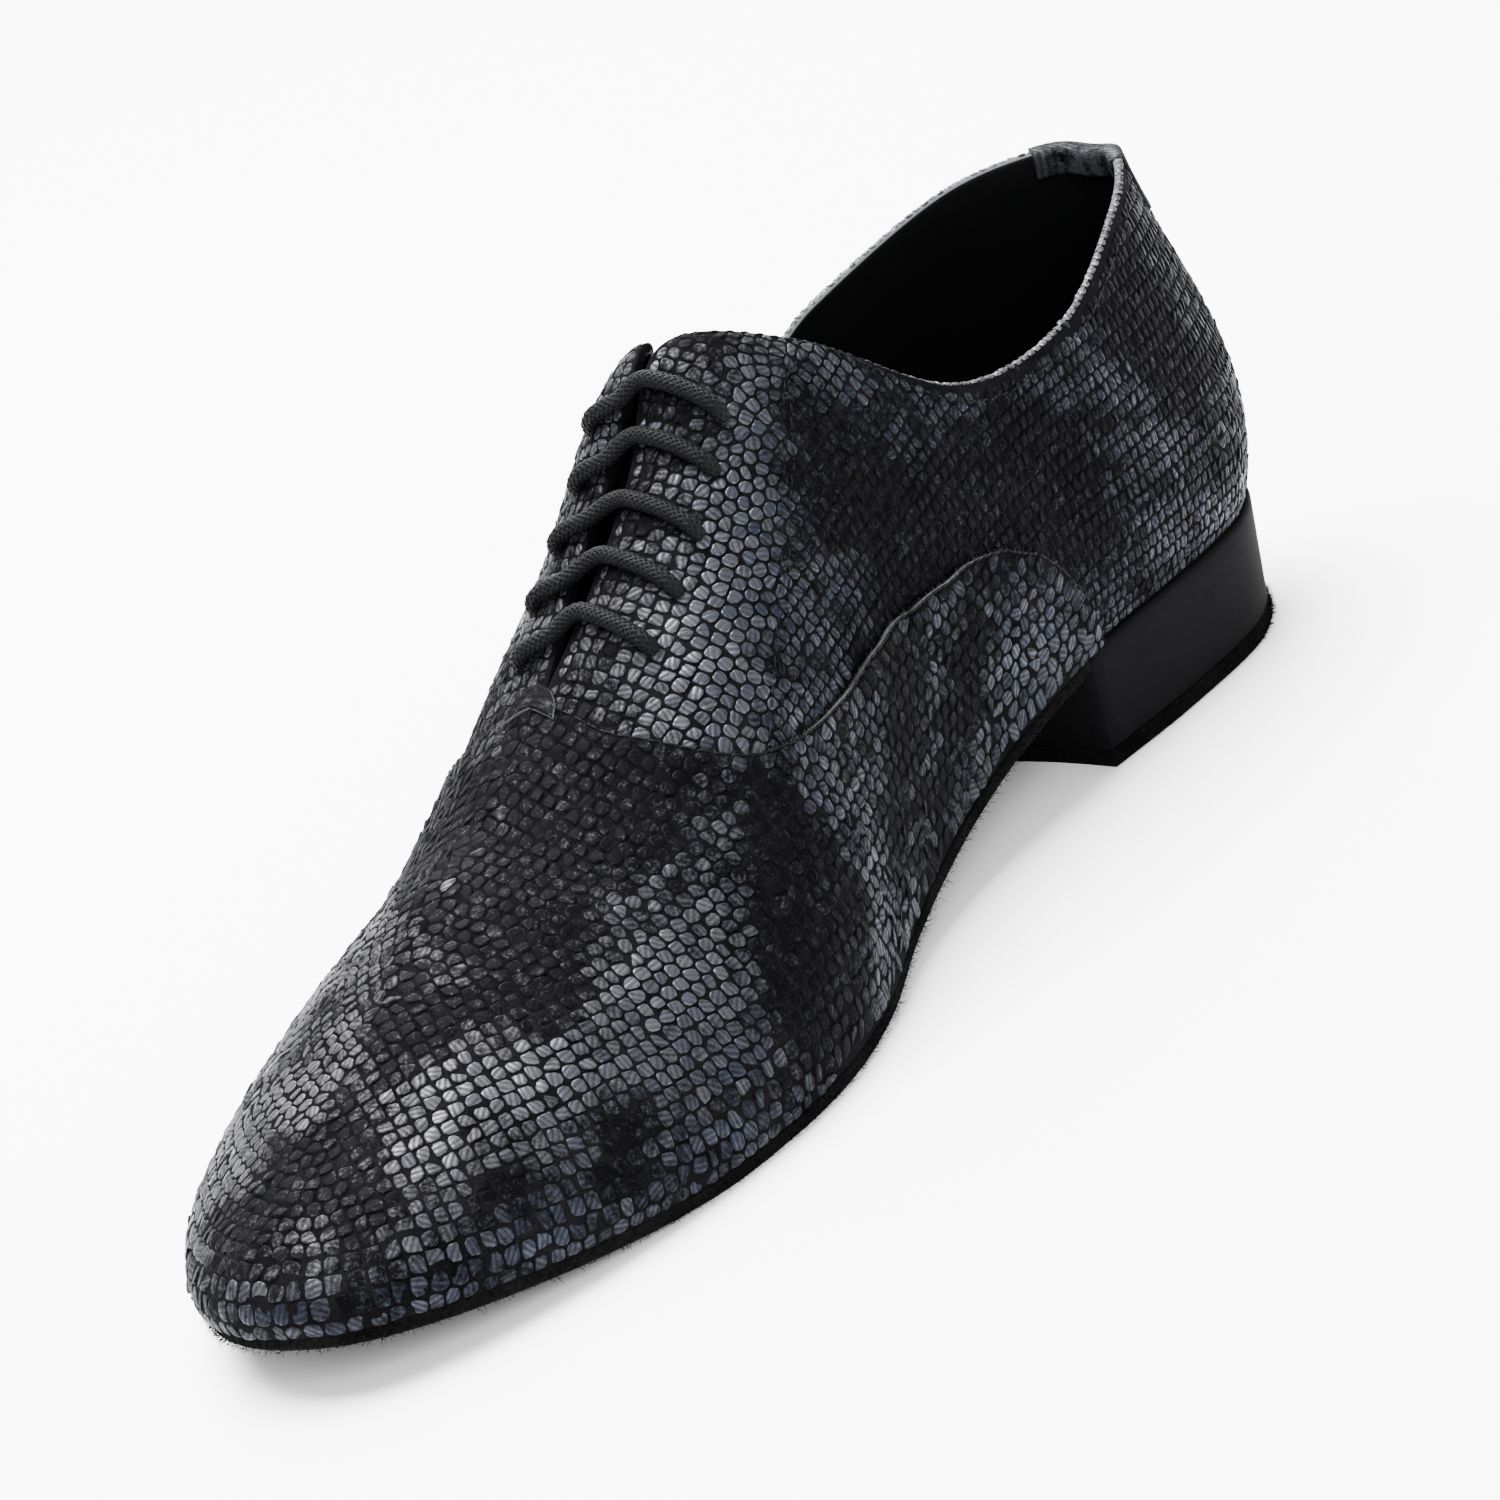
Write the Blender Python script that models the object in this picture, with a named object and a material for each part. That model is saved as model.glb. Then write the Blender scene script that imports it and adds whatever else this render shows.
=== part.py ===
"""A man's low-heeled dance shoe for the right foot, standing on the floor at z = 0.

The toe points along +X, the inner side of the foot is +Y and up is +Z.
Every curved piece is worked out from one function, outside(), which gives a point on
the outside of the upper from a place round the shoe and a share of the way up it.
"""

import math

import bmesh
import bpy
import numpy as np

# Sizes of the last and of the shoe over it, in metres
SHOE_LENGTH = 0.290
BALL_WIDTH = 0.097
SEAT_WIDTH = 0.058
BACK_HEIGHT = 0.0630
INSTEP_HEIGHT = 0.0960
THROAT_HEIGHT = 0.0620
TOE_HEIGHT = 0.0275
COLLAR_WIDTH = 0.055
SIDE_BULGE = 0.0064
TOE_SPRING = 0.0096

# Sizes of the pieces
WALL = 0.0018
VAMP_THICKNESS = 0.0011
VAMP_GAP = 0.0004
OUTSOLE_THICKNESS = 0.0028
SOLE_EDGE = 0.0010
INSOLE_THICKNESS = 0.0020
HEEL_LIFT = 0.0196
HEEL_LENGTH = 0.076
HEEL_TAPER = 0.0018
BREAST_HOLLOW = 0.0030
TOP_PIECE_THICKNESS = 0.0032
TOP_PIECE_CHAMFER = 0.0004
TONGUE_THICKNESS = 0.0016
TONGUE_TOP_WIDTH = 0.050
TONGUE_TOE_WIDTH = 0.036
LACING_GAP = 0.0042
EYELET_SETBACK = 0.0160
FAR_EYELET_SETBACK = 0.0085
EYELET_DIAMETER = 0.0042
LACE_DIAMETER = 0.0030
BACK_STRIP_WIDTH = 0.020
BACK_STRIP_DEPTH = 0.010
BACK_STRIP_INSIDE = 0.004
BACK_STRIP_THICKNESS = 0.0008
CLEARANCE = 0.0003

# The vamp's lower edge, as a share of the way up, keeps clear of the sole and heel
VAMP_FOOT = 0.012

# Where the bottom line changes, as shares of the length
SEAT_END = 0.20
BALL_START = 0.62
BALL_END = 0.75

# How finely the surfaces are divided
RIBS_PER_SECTION = 3
STEPS_UP = 10
STEPS_ACROSS = 4
SHORTEST_STEP = 0.012

# Sections from the back of the heel to the tip of the toe. Each has a rib on the inner
# side (near) and one on the outer side (far), and both end on the same top line.
# seat: how far the width follows SEAT_WIDTH instead of BALL_WIDTH
# near_x, far_x, top_x: shares of SHOE_LENGTH; near_y, far_y, middle_y: of the width
# collar: half opening as a share of COLLAR_WIDTH; laced: the same of LACING_GAP
# of: the size that near_top and far_top are shares of, above the bottom line
# bulge: share of SIDE_BULGE; rise and drop: of the top's height; reach: of the width
COLUMNS = (
    "seat", "near_x", "near_y", "far_x", "far_y", "top_x", "middle_y", "collar", "laced",
    "of", "near_top", "far_top", "bulge", "near_rise", "far_rise", "near_reach", "far_reach", "drop",
)
SECTIONS = (
    (1, .010, .00, .010, -.00, .010, .00, .00, 0, "back", 1.00, 1.01, 1.8, .35, .35, .03, .03, .32),
    (1, .028, .225, .030, -.26, .022, .00, .16, 0, "back", .995, 1.03, 1.8, .35, .35, .04, .04, .32),
    (1, .088, .41, .095, -.48, .085, .00, .36, 0, "back", .950, 1.03, 1.3, .33, .33, .04, .04, .30),
    (1, .180, .45, .198, -.53, .198, .00, .50, 0, "back", .820, .935, 1.1, .31, .31, .04, .04, .30),
    (.75, .276, .37, .300, -.46, .296, .00, .48, 0, "back", .91, .865, 1.2, .29, .29, .05, .05, .31),
    (.45, .360, .31, .398, -.43, .380, .015, .31, 0, "instep", .87, .8, 1.3, .35, .28, .15, .12, .11),
    (.20, .432, .30, .472, -.43, .440, .025, 0, .5, "instep", .995, .995, 1.2, .42, .26, .27, .20, .02),
    (0, .505, .33, .542, -.43, .503, .025, 0, .5, "instep", .87, .87, 1.0, .40, .25, .28, .20, .02),
    (0, .578, .42, .610, -.455, .563, .025, 0, .5, "instep", .77, .77, 0.9, .36, .25, .27, .20, .02),
    (0, .655, .485, .680, -.47, .622, .025, 0, 0, "throat", 1.02, 1.02, .9, .30, .26, .25, .20, .03),
    (0, .731, .495, .752, -.46, .692, .035, 0, 0, "throat", .840, .840, .9, .28, .28, .22, .20, .02),
    (0, .808, .465, .824, -.415, .760, .055, 0, 0, "throat", .735, .735, 1.0, .29, .29, .21, .20, 0),
    (0, .883, .405, .890, -.33, .828, .075, 0, 0, "toe", 1.36, 1.36, 1.0, .27, .27, .17, .17, 0),
    (0, .950, .325, .950, -.175, .886, .09, 0, 0, "toe", 1.01, 1.01, 0.8, .33, .33, .13, .13, 0),
    (0, .988, .235, .988, -.03, .923, .10, 0, 0, "toe", .765, .765, 0.65, .36, .36, .10, .10, 0),
    (0, 1.00, .105, 1.00, .105, .938, .10, 0, 0, "toe", .680, .680, 0.65, .38, .38, .09, .09, 0),
)
THROAT_SECTION = 9
LACED_SECTION = 6
TIP_SECTION = len(SECTIONS) - 1
RING = 2 * TIP_SECTION

# The seam where the vamp laps over the quarters, the same on both sides
SEAM_COLUMNS = ("station", "up")
SEAM = (
    (3.70, .00), (3.74, .13), (3.82, .23), (3.96, .36), (4.12, .425), (4.42, .43),
    (4.76, .39), (5.16, .35), (5.68, .32), (6.24, .325), (6.80, .37), (7.32, .415),
    (7.72, .455), (7.98, .49), (8.22, .53), (8.40, .58), (8.54, .63), (8.68, .69),
    (8.84, .765), (8.93, .805), (8.96, .85), (8.98, .93), (9.00, 1.0),
)

# The two eyelets of each bar of the lace, counted from the top
BAR_COLUMNS = ("near_station", "far_station")
BARS = ((6.34, 6.50), (6.70, 6.88), (7.18, 7.38), (7.68, 7.92), (8.18, 8.42))


def smooth(share):
    share = np.clip(share, 0.0, 1.0)
    return share * share * (3.0 - 2.0 * share)


def bottom_height(x):
    """Height of the upper's bottom line: the seat over the heel, the arch, the ball and the toe."""
    arch = 1.0 - smooth((x / SHOE_LENGTH - SEAT_END) / (BALL_START - SEAT_END))
    toe = np.clip((x / SHOE_LENGTH - BALL_END) / (1.0 - BALL_END), 0.0, None) ** 1.5
    return OUTSOLE_THICKNESS + CLEARANCE + HEEL_LIFT * arch + TOE_SPRING * toe


def ring_table():
    """The sections as one closed table in metres: the near side to the tip, and the far side back."""
    tops = {
        "back": BACK_HEIGHT,
        "instep": INSTEP_HEIGHT,
        "throat": THROAT_HEIGHT,
        "toe": TOE_HEIGHT,
    }
    table = []
    for index in range(RING):
        near = index <= TIP_SECTION
        side = "near" if near else "far"
        row = dict(zip(COLUMNS, SECTIONS[index if near else RING - index]))
        width = row["seat"] * SEAT_WIDTH + (1.0 - row["seat"]) * BALL_WIDTH
        opening = row["collar"] * COLLAR_WIDTH + row["laced"] * LACING_GAP
        top = row[side + "_top"] * tops[row["of"]]
        table.append((
            row[side + "_x"] * SHOE_LENGTH,
            row[side + "_y"] * width,
            row["top_x"] * SHOE_LENGTH,
            row["middle_y"] * width,
            opening if near else -opening,
            top,
            row["bulge"] * SIDE_BULGE,
            row[side + "_rise"] * top,
            row[side + "_reach"] * width,
            row["drop"] * top,
        ))
    return np.array(table)


RING_TABLE = ring_table()


def ring_row(place):
    """A smooth curve through the closed table, at a place counted in sections."""
    start = np.floor(place).astype(int)
    part = (place - start)[..., None]
    before, here, after, beyond = (RING_TABLE[(start + step) % RING] for step in (-1, 0, 1, 2))
    bend = 2 * before - 5 * here + 4 * after - beyond
    twist = 3 * here - before - 3 * after + beyond
    return 0.5 * (2 * here + (after - before) * part + bend * part**2 + twist * part**3)


def foot(place, margin=0.0):
    """Points on the bottom line, moved outwards by the margin, and the outward direction there."""
    place = np.asarray(place, float)
    ahead = ring_row(place + 0.02)[..., :2]
    behind = ring_row(place - 0.02)[..., :2]
    along = ahead - behind
    outward = np.stack([-along[..., 1], along[..., 0]], -1)
    outward /= np.linalg.norm(outward, axis=-1, keepdims=True)
    flat = ring_row(place)[..., :2]
    height = bottom_height(flat[..., 0])
    return np.concatenate([flat + margin * outward, height[..., None]], -1), outward


def crest_slope(station, aside):
    """How steeply the top falls in this direction, so that both sides of the vamp meet smoothly."""
    before = np.minimum(station, TIP_SECTION - 0.4)
    ends = [ring_row(before + step) for step in (-0.05, 0.05)]
    tops = [np.stack([row[..., 2], row[..., 3]], -1) for row in ends]
    heights = [bottom_height(row[..., 2]) + row[..., 5] for row in ends]
    run = tops[1] - tops[0]
    slope = (heights[1] - heights[0]) / max(np.sum(run**2), 1e-12)
    weight = smooth((station - LACED_SECTION - 2.0) / 1.2)
    return weight * slope * np.sum(run * aside, axis=-1)


def outside(place, up):
    """Points on the outside of the upper. up is 0 at the bottom line and 1 at the top edge."""
    place, up = np.broadcast_arrays(np.asarray(place, float), np.asarray(up, float))
    row = ring_row(place)
    start, outward = foot(place)
    turned = np.mod(place, RING)
    near = turned <= TIP_SECTION
    station = np.where(near, turned, RING - turned)
    opening = np.where(near, np.maximum(row[..., 4], 0), np.minimum(row[..., 4], 0))
    opening = np.where(station >= THROAT_SECTION, 0.0, opening)
    opening = np.where(station < 0.5, row[..., 4], opening)
    top = np.stack(
        [row[..., 2], row[..., 3] + opening, bottom_height(row[..., 2]) + row[..., 5]], -1
    )
    across = start[..., :2] - top[..., :2]
    span = np.linalg.norm(across, axis=-1, keepdims=True)
    lean = np.clip(span / 0.012, 0.0, 1.0)
    aside = across / np.maximum(span, 1e-6) * lean + outward * (1.0 - lean)
    aside /= np.linalg.norm(aside, axis=-1, keepdims=True)
    low = start.copy()
    low[..., :2] += outward * row[..., 6:7]
    low[..., 2] += row[..., 7]
    high = top.copy()
    high[..., :2] += aside * row[..., 8:9]
    high[..., 2] += crest_slope(station, aside) * row[..., 8] - row[..., 9]
    up = up[..., None]
    rest = 1.0 - up
    return rest**3 * start + 3 * rest**2 * up * low + 3 * rest * up**2 * high + up**3 * top


def share_down(place, distance):
    """The share of the way up that lies this far below the top edge, along the surface."""
    ups = np.linspace(1.0, 0.0, 121)
    points = outside(np.full(ups.shape, float(place)), ups)
    lengths = np.concatenate([[0.0], np.cumsum(np.linalg.norm(np.diff(points, axis=0), axis=1))])
    return float(np.interp(distance, lengths, ups))


def outward_normal(place, up):
    """The direction that the outside of the upper faces."""
    step = 0.01
    along = outside(place + step, up) - outside(place - step, up)
    over = outside(place, min(up + step, 1.0)) - outside(place, max(up - step, 0.0))
    normal = np.cross(over, along)
    return normal / np.linalg.norm(normal)


def place_at(x, near):
    """The place on one side where the bottom line reaches this x, in the rear half of the shoe."""
    stations = np.linspace(0.0, 8.0, 401)
    places = stations if near else RING - stations
    return float(np.interp(x, foot(places)[0][:, 0], places))


# Sheets and solids

def weld(columns, closed):
    """One list of points, and triangles between neighbouring columns, which may differ in length."""
    points, index, columns_of_ids = [], {}, []
    for column in columns:
        ids = []
        for point in column:
            key = tuple(np.round(np.asarray(point) * 1e6).astype(int))
            if key not in index:
                index[key] = len(points)
                points.append(point)
            ids.append(index[key])
        columns_of_ids.append(ids)
    if closed:
        columns_of_ids.append(columns_of_ids[0])
    faces = []
    for left, right in zip(columns_of_ids, columns_of_ids[1:]):
        for k in range(1, max(len(left), len(right))):
            old_left, old_right = left[min(k, len(left)) - 1], right[min(k, len(right)) - 1]
            new_left, new_right = left[min(k, len(left) - 1)], right[min(k, len(right) - 1)]
            for face in ((old_left, new_left, new_right), (old_left, new_right, old_right)):
                if len(set(face)) == 3:
                    faces.append(list(face))
    return np.array(points), faces


def sheet_normals(points, faces):
    """The direction of the sheet at each point, from the faces round it."""
    normals = np.zeros_like(points)
    for face in faces:
        first, second, third = points[face]
        normals[face] += np.cross(second - first, third - first)
    return normals / np.linalg.norm(normals, axis=1, keepdims=True)


def thickened(points, faces, low, high, directions=None):
    """A closed solid: the sheet moved by high, the sheet moved by low, and a rim round each edge."""
    if directions is None:
        directions = sheet_normals(points, faces)
    low = np.broadcast_to(np.asarray(low, float), len(points))[:, None]
    high = np.broadcast_to(np.asarray(high, float), len(points))[:, None]
    count = len(points)
    both = np.concatenate([points + directions * high, points + directions * low])
    solid = [list(face) for face in faces]
    solid += [[count + a for a in reversed(face)] for face in faces]
    edges = {}
    for face in faces:
        for a, b in zip(face, face[1:] + face[:1]):
            edges[(a, b)] = True
    for a, b in edges:
        if (b, a) not in edges:
            solid.append([b, a, count + a, count + b])
    return both, solid


def loft(loops):
    """A closed solid through loops of equal length, from the lowest to the highest."""
    count = len(loops[0])
    points = np.concatenate(loops)
    faces = []
    for level in range(len(loops) - 1):
        for k in range(count):
            a, b = level * count + k, level * count + (k + 1) % count
            faces.append([b, a, a + count, b + count])
    faces.append(list(range(count)))
    faces.append(list(reversed(range((len(loops) - 1) * count, len(loops) * count))))
    return points, faces


def material(name, colour, roughness, metallic=0.0):
    made = bpy.data.materials.new(name)
    made.use_nodes = True
    shader = made.node_tree.nodes["Principled BSDF"]
    shader.inputs["Base Color"].default_value = (*colour, 1.0)
    shader.inputs["Roughness"].default_value = roughness
    shader.inputs["Metallic"].default_value = metallic
    return made


def add_solid(name, points, faces, look):
    mesh = bpy.data.meshes.new(name)
    mesh.from_pydata([tuple(point) for point in points], [], faces)
    mesh.materials.append(look)
    shape = bmesh.new()
    shape.from_mesh(mesh)
    bmesh.ops.triangulate(shape, faces=shape.faces)
    bmesh.ops.recalc_face_normals(shape, faces=shape.faces)
    shape.to_mesh(mesh)
    shape.free()
    for polygon in mesh.polygons:
        polygon.use_smooth = True
    obj = bpy.data.objects.new(name, mesh)
    bpy.context.scene.collection.objects.link(obj)
    return obj


# Pieces

def rib_places():
    return np.arange(RING * RIBS_PER_SECTION) / RIBS_PER_SECTION


def add_upper(look):
    """The hollow upper: quarters, lining and the part under the vamp, open at collar, lacing and sole."""
    ups = np.linspace(0.0, 1.0, STEPS_UP + 1)
    columns = [outside(np.full(ups.shape, place), ups) for place in rib_places()]
    points, faces = weld(columns, closed=True)
    upper = add_solid("upper", *thickened(points, faces, -WALL, 0.0), look)
    cutter = add_eyelet_cutter()
    holes = upper.modifiers.new("eyelet holes", "BOOLEAN")
    holes.operation = "DIFFERENCE"
    holes.solver = "EXACT"
    holes.object = cutter
    return upper


def bar_place(bar, near):
    return bar[0] if near else RING - bar[1]


def eyelet(bar, near):
    """The middle of an eyelet on the outside, and the direction of its hole."""
    place = bar_place(bar, near)
    up = share_down(place, EYELET_SETBACK if near else FAR_EYELET_SETBACK)
    return outside(place, up), outward_normal(place, up)


def ring_round(centre, axis, radius, sides):
    side = np.cross(axis, (1.0, 0.0, 0.0))
    side /= np.linalg.norm(side)
    other = np.cross(axis, side)
    turns = np.arange(sides) * 2 * math.pi / sides
    return [centre + radius * (math.cos(a) * side + math.sin(a) * other) for a in turns]


def add_eyelet_cutter():
    points, faces = [], []
    for bar in BARS:
        for near in (True, False):
            centre, axis = eyelet(bar, near)
            low = ring_round(centre - axis * 3 * WALL, axis, EYELET_DIAMETER / 2, 14)
            high = ring_round(centre + axis * 2 * WALL, axis, EYELET_DIAMETER / 2, 14)
            more_points, more_faces = loft([low, high])
            faces += [[len(points) + a for a in face] for face in more_faces]
            points += list(more_points)
    cutter = add_solid("eyelet_cutter", np.array(points), faces, None)
    cutter.hide_render = True
    cutter.display_type = "WIRE"
    return cutter


def seam_up(station):
    """The share of the way up where the vamp ends at a station."""
    return float(np.interp(station, [row[0] for row in SEAM], [row[1] for row in SEAM]))


def add_vamp(look):
    """The vamp lies over the upper, from the sole up to its seam, and its tab closes the throat."""
    grid = np.linspace(0.0, 1.0, STEPS_UP + 1)
    start = SEAM[0][0]
    ribs = [place for place in rib_places() if start < place < RING - start]
    ribs += [station for station, up in SEAM[1:]]
    ribs += [RING - station for station, up in SEAM[1:]]
    columns = []
    for place in sorted(set(np.round(ribs, 4))):
        end = seam_up(min(place, RING - place))
        ups = [max(up, VAMP_FOOT) for up in grid if up < end - SHORTEST_STEP] + [max(end, VAMP_FOOT)]
        columns.append(outside(np.full(len(ups), place), np.array(ups)))
    points, faces = weld(columns, closed=False)
    solid = thickened(points, faces, VAMP_GAP, VAMP_GAP + VAMP_THICKNESS)
    return add_solid("vamp", *solid, look)


def add_tongue(look):
    """The tongue runs under the lace, and its toe end lies against the upper behind the throat."""
    stations = np.linspace(LACED_SECTION + 0.15, THROAT_SECTION + 0.9, 14)
    under_lace = WALL + LACE_DIAMETER + 4 * CLEARANCE
    under_wall = WALL + CLEARANCE
    columns, depths = [], {}
    for station in stations:
        part = (station - stations[0]) / (stations[-1] - stations[0])
        half = 0.5 * (TONGUE_TOP_WIDTH * (1 - part) + TONGUE_TOE_WIDTH * part)
        column = []
        for place in (station, RING - station):
            ups = [share_down(place, half * k / 5) for k in range(6)]
            ribs = list(outside(np.full(6, place), np.array(ups)))
            column = ribs[::-1] if place == station else column + ribs
        columns.append(column)
        sink = smooth((station - BARS[-1][1] - 0.2) / 0.7)
        depths[len(columns) - 1] = under_lace + (under_wall - under_lace) * sink
    points, faces = weld(columns, closed=False)
    depth = np.array([depths[nearest_column(columns, point)] for point in points])
    solid = thickened(points, [face[::-1] for face in faces], depth, depth + TONGUE_THICKNESS)
    return add_solid("tongue", *solid, look)


def nearest_column(columns, point):
    distances = [min(np.linalg.norm(np.array(column) - point, axis=1)) for column in columns]
    return int(np.argmin(distances))


def sole_sheet(start_x, margin, height):
    """A sheet over the sole from start_x to the tip, its outline a margin outside the bottom line."""
    columns = []
    near_start = place_at(start_x, True)
    far_start = RING - place_at(start_x, False)
    count = int((TIP_SECTION - near_start) * RIBS_PER_SECTION)
    for k in range(count + 1):
        near = near_start + (TIP_SECTION - near_start) * k / count
        far = far_start + (TIP_SECTION - far_start) * k / count
        left, right = foot(near, margin)[0], foot(RING - far, margin)[0]
        column = []
        for step in range(STEPS_ACROSS + 1):
            point = left + (right - left) * step / STEPS_ACROSS
            point[2] = bottom_height(point[0]) + height
            column.append(point)
        columns.append(column)
    return weld(columns, closed=False)


def add_outsole(look):
    points, faces = sole_sheet(HEEL_LENGTH + CLEARANCE, SOLE_EDGE, -CLEARANCE)
    upright = np.tile((0.0, 0.0, 1.0), (len(points), 1))
    faces = [face[::-1] for face in faces]
    solid = thickened(points, faces, -OUTSOLE_THICKNESS, 0.0, upright)
    return add_solid("outsole", *solid, look)


def add_insole(look):
    inset = WALL + 3 * CLEARANCE
    points, faces = sole_sheet(0.004 + inset, -inset, 0.0)
    upright = np.tile((0.0, 0.0, 1.0), (len(points), 1))
    faces = [face[::-1] for face in faces]
    solid = thickened(points, faces, 0.0, INSOLE_THICKNESS, upright)
    return add_solid("insole", *solid, look)


def heel_loop(margin, height, hollow, forward=0.0):
    """An outline of the heel: round the seat, and across the breast with a shallow hollow."""
    places = np.linspace(place_at(HEEL_LENGTH, False) - RING, place_at(HEEL_LENGTH, True), 29)
    loop = list(foot(places, margin)[0])
    left, right = loop[-1], loop[0]
    for k in range(1, 6):
        point = left + (right - left) * k / 6
        point[0] -= hollow * math.sin(math.pi * k / 6)
        loop.append(point)
    for point in loop:
        point[0] += forward * (1.0 - point[0] / HEEL_LENGTH)
        point[2] = bottom_height(point[0]) - CLEARANCE if height is None else height
    return np.array(loop)


def add_heel(look):
    """The covered heel narrows a little from the seat down to its top piece."""
    low = TOP_PIECE_THICKNESS + CLEARANCE
    seat = heel_loop(SOLE_EDGE, None, 0.0)
    breast = OUTSOLE_THICKNESS / (seat[:, 2].mean() - low)
    levels = []
    for share in (1.0, 0.6, 2.0 * breast, breast, 0.0):
        hollow = BREAST_HOLLOW * min(1.0, (share - breast) / breast) if share > breast else 0.0
        loop = heel_loop(SOLE_EDGE - HEEL_TAPER * share, None, hollow, HEEL_TAPER * share)
        loop[:, 2] = low + (seat[:, 2] - low) * (1.0 - share)
        levels.append(loop)
    return add_solid("heel", *loft(levels), look)


def add_top_piece(look):
    """The suede piece that the heel stands on."""
    edge = SOLE_EDGE - HEEL_TAPER
    levels = [
        heel_loop(edge - TOP_PIECE_CHAMFER, 0.0, BREAST_HOLLOW, HEEL_TAPER),
        heel_loop(edge, TOP_PIECE_CHAMFER, BREAST_HOLLOW, HEEL_TAPER),
        heel_loop(edge, TOP_PIECE_THICKNESS, BREAST_HOLLOW, HEEL_TAPER),
    ]
    return add_solid("top_piece", *loft(levels), look)


def add_back_strip(look):
    """A strip folded over the collar at the back, down the outside and a little way inside."""
    half = 0.0
    while outside(half, 1.0)[1] < BACK_STRIP_WIDTH / 2:
        half += 0.01
    columns = []
    for place in np.linspace(-half, half, 9):
        outer, inner = [], []
        for part in (1.0, 0.66, 0.33, 0.0):
            lift = np.array((0.0, 0.0, CLEARANCE if part == 0.0 else 0.0))
            up = share_down(place, BACK_STRIP_DEPTH * part)
            outer.append(outside(place, up) + outward_normal(place, up) * CLEARANCE + lift)
            up = share_down(place, BACK_STRIP_INSIDE * part)
            inner.append(outside(place, up) - outward_normal(place, up) * (WALL + CLEARANCE) + lift)
        columns.append(outer + inner[::-1])
    points, faces = weld(columns, closed=False)
    solid = thickened(points, faces, 0.0, BACK_STRIP_THICKNESS)
    return add_solid("back_strip", *solid, look)


def lace_bar(bar):
    """Points of one bar from the near eyelet, over both facings, to the far eyelet."""
    radius = LACE_DIAMETER / 2
    over = radius + 1.5 * CLEARANCE
    route = []
    for near in (True, False):
        place = bar_place(bar, near)
        setback = EYELET_SETBACK if near else FAR_EYELET_SETBACK
        half = []
        for back, off in ((0.0, 0.0), (0.0002, 0.0008), (0.0010, 0.0015), (0.0022, over)):
            half.append((setback - back, off))
        for part in (0.55, 0.28, 0.03):
            half.append((setback * part, over))
        points = []
        for distance, off in half:
            up = share_down(place, distance)
            points.append(outside(place, up) + outward_normal(place, up) * off)
        route += points if near else points[::-1]
    return route


def lace_run(first, second, near):
    """Points of the hidden run between two eyelets of one side, under the facing."""
    radius = LACE_DIAMETER / 2
    under = WALL + radius + 1.5 * CLEARANCE
    start, start_axis = eyelet(first, near)
    end, end_axis = eyelet(second, near)
    way = (end - start) / np.linalg.norm(end - start)
    turns = ((0.0, WALL), (0.0002, WALL + 0.0008), (0.0010, WALL + 0.0015), (0.0022, under))
    route = [start + way * step - start_axis * depth for step, depth in turns]
    route += [end - way * step - end_axis * depth for step, depth in reversed(turns)]
    return route


def lace_route():
    """The whole lace: five bars joined by hidden runs, its ends at the top and bottom eyelets."""
    near = True
    route = []
    for bar, following in zip(BARS, BARS[1:] + (None,)):
        crossing = lace_bar(bar)
        route += crossing if near else crossing[::-1]
        near = not near
        if following:
            route += lace_run(bar, following, near)
    first, first_axis = eyelet(BARS[0], True)
    last, last_axis = eyelet(BARS[-1], near)
    tail = WALL + LACE_DIAMETER / 2
    return [first - first_axis * tail] + route + [last - last_axis * tail]


def add_lace(look):
    curve = bpy.data.curves.new("lace", "CURVE")
    curve.dimensions = "3D"
    curve.bevel_depth = LACE_DIAMETER / 2
    curve.bevel_resolution = 1
    curve.use_fill_caps = True
    route = lace_route()
    spline = curve.splines.new("POLY")
    spline.points.add(len(route) - 1)
    for point, place in zip(spline.points, route):
        point.co = (*place, 1.0)
    curve.materials.append(look)
    lace = bpy.data.objects.new("lace", curve)
    bpy.context.scene.collection.objects.link(lace)
    return lace


def centre_on_origin():
    """Moves every piece and cutter alike, so that the middle of the whole box is over the origin."""
    bpy.context.view_layer.update()
    graph = bpy.context.evaluated_depsgraph_get()
    points = []
    for obj in bpy.data.objects:
        if not obj.hide_render:
            shape = obj.evaluated_get(graph)
            points += [vertex.co[:] for vertex in shape.to_mesh().vertices]
            shape.to_mesh_clear()
    middle = (np.max(points, axis=0) + np.min(points, axis=0)) / 2
    for obj in bpy.data.objects:
        obj.location = (-middle[0], -middle[1], 0.0)


def main():
    for obj in list(bpy.data.objects):
        bpy.data.objects.remove(obj)
    python_suede = material("python_print_suede", (0.035, 0.037, 0.044), 0.55, 0.2)
    lining = material("lining", (0.010, 0.010, 0.010), 0.6)
    suede = material("black_suede", (0.012, 0.012, 0.012), 0.95)
    heel_cover = material("matte_heel_cover", (0.018, 0.018, 0.020), 0.6)
    cord = material("waxed_cotton", (0.020, 0.021, 0.024), 0.5)
    add_upper(python_suede)
    add_vamp(python_suede)
    add_tongue(python_suede)
    add_back_strip(python_suede)
    add_insole(lining)
    add_outsole(suede)
    add_heel(heel_cover)
    add_top_piece(suede)
    add_lace(cord)
    centre_on_origin()


main()
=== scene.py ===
"""The looks of a man's python-print dance shoe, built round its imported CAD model.

The skin follows the same function of the last as the CAD does. The scales, stitches, lace
and fibres are small shapes laid on it. Lengths are in metres, and +X is towards the toe.
"""

import math

import bmesh
import bpy
import numpy as np
from mathutils import Matrix, Vector
from mathutils.bvhtree import BVHTree
from mathutils.kdtree import KDTree


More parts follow.
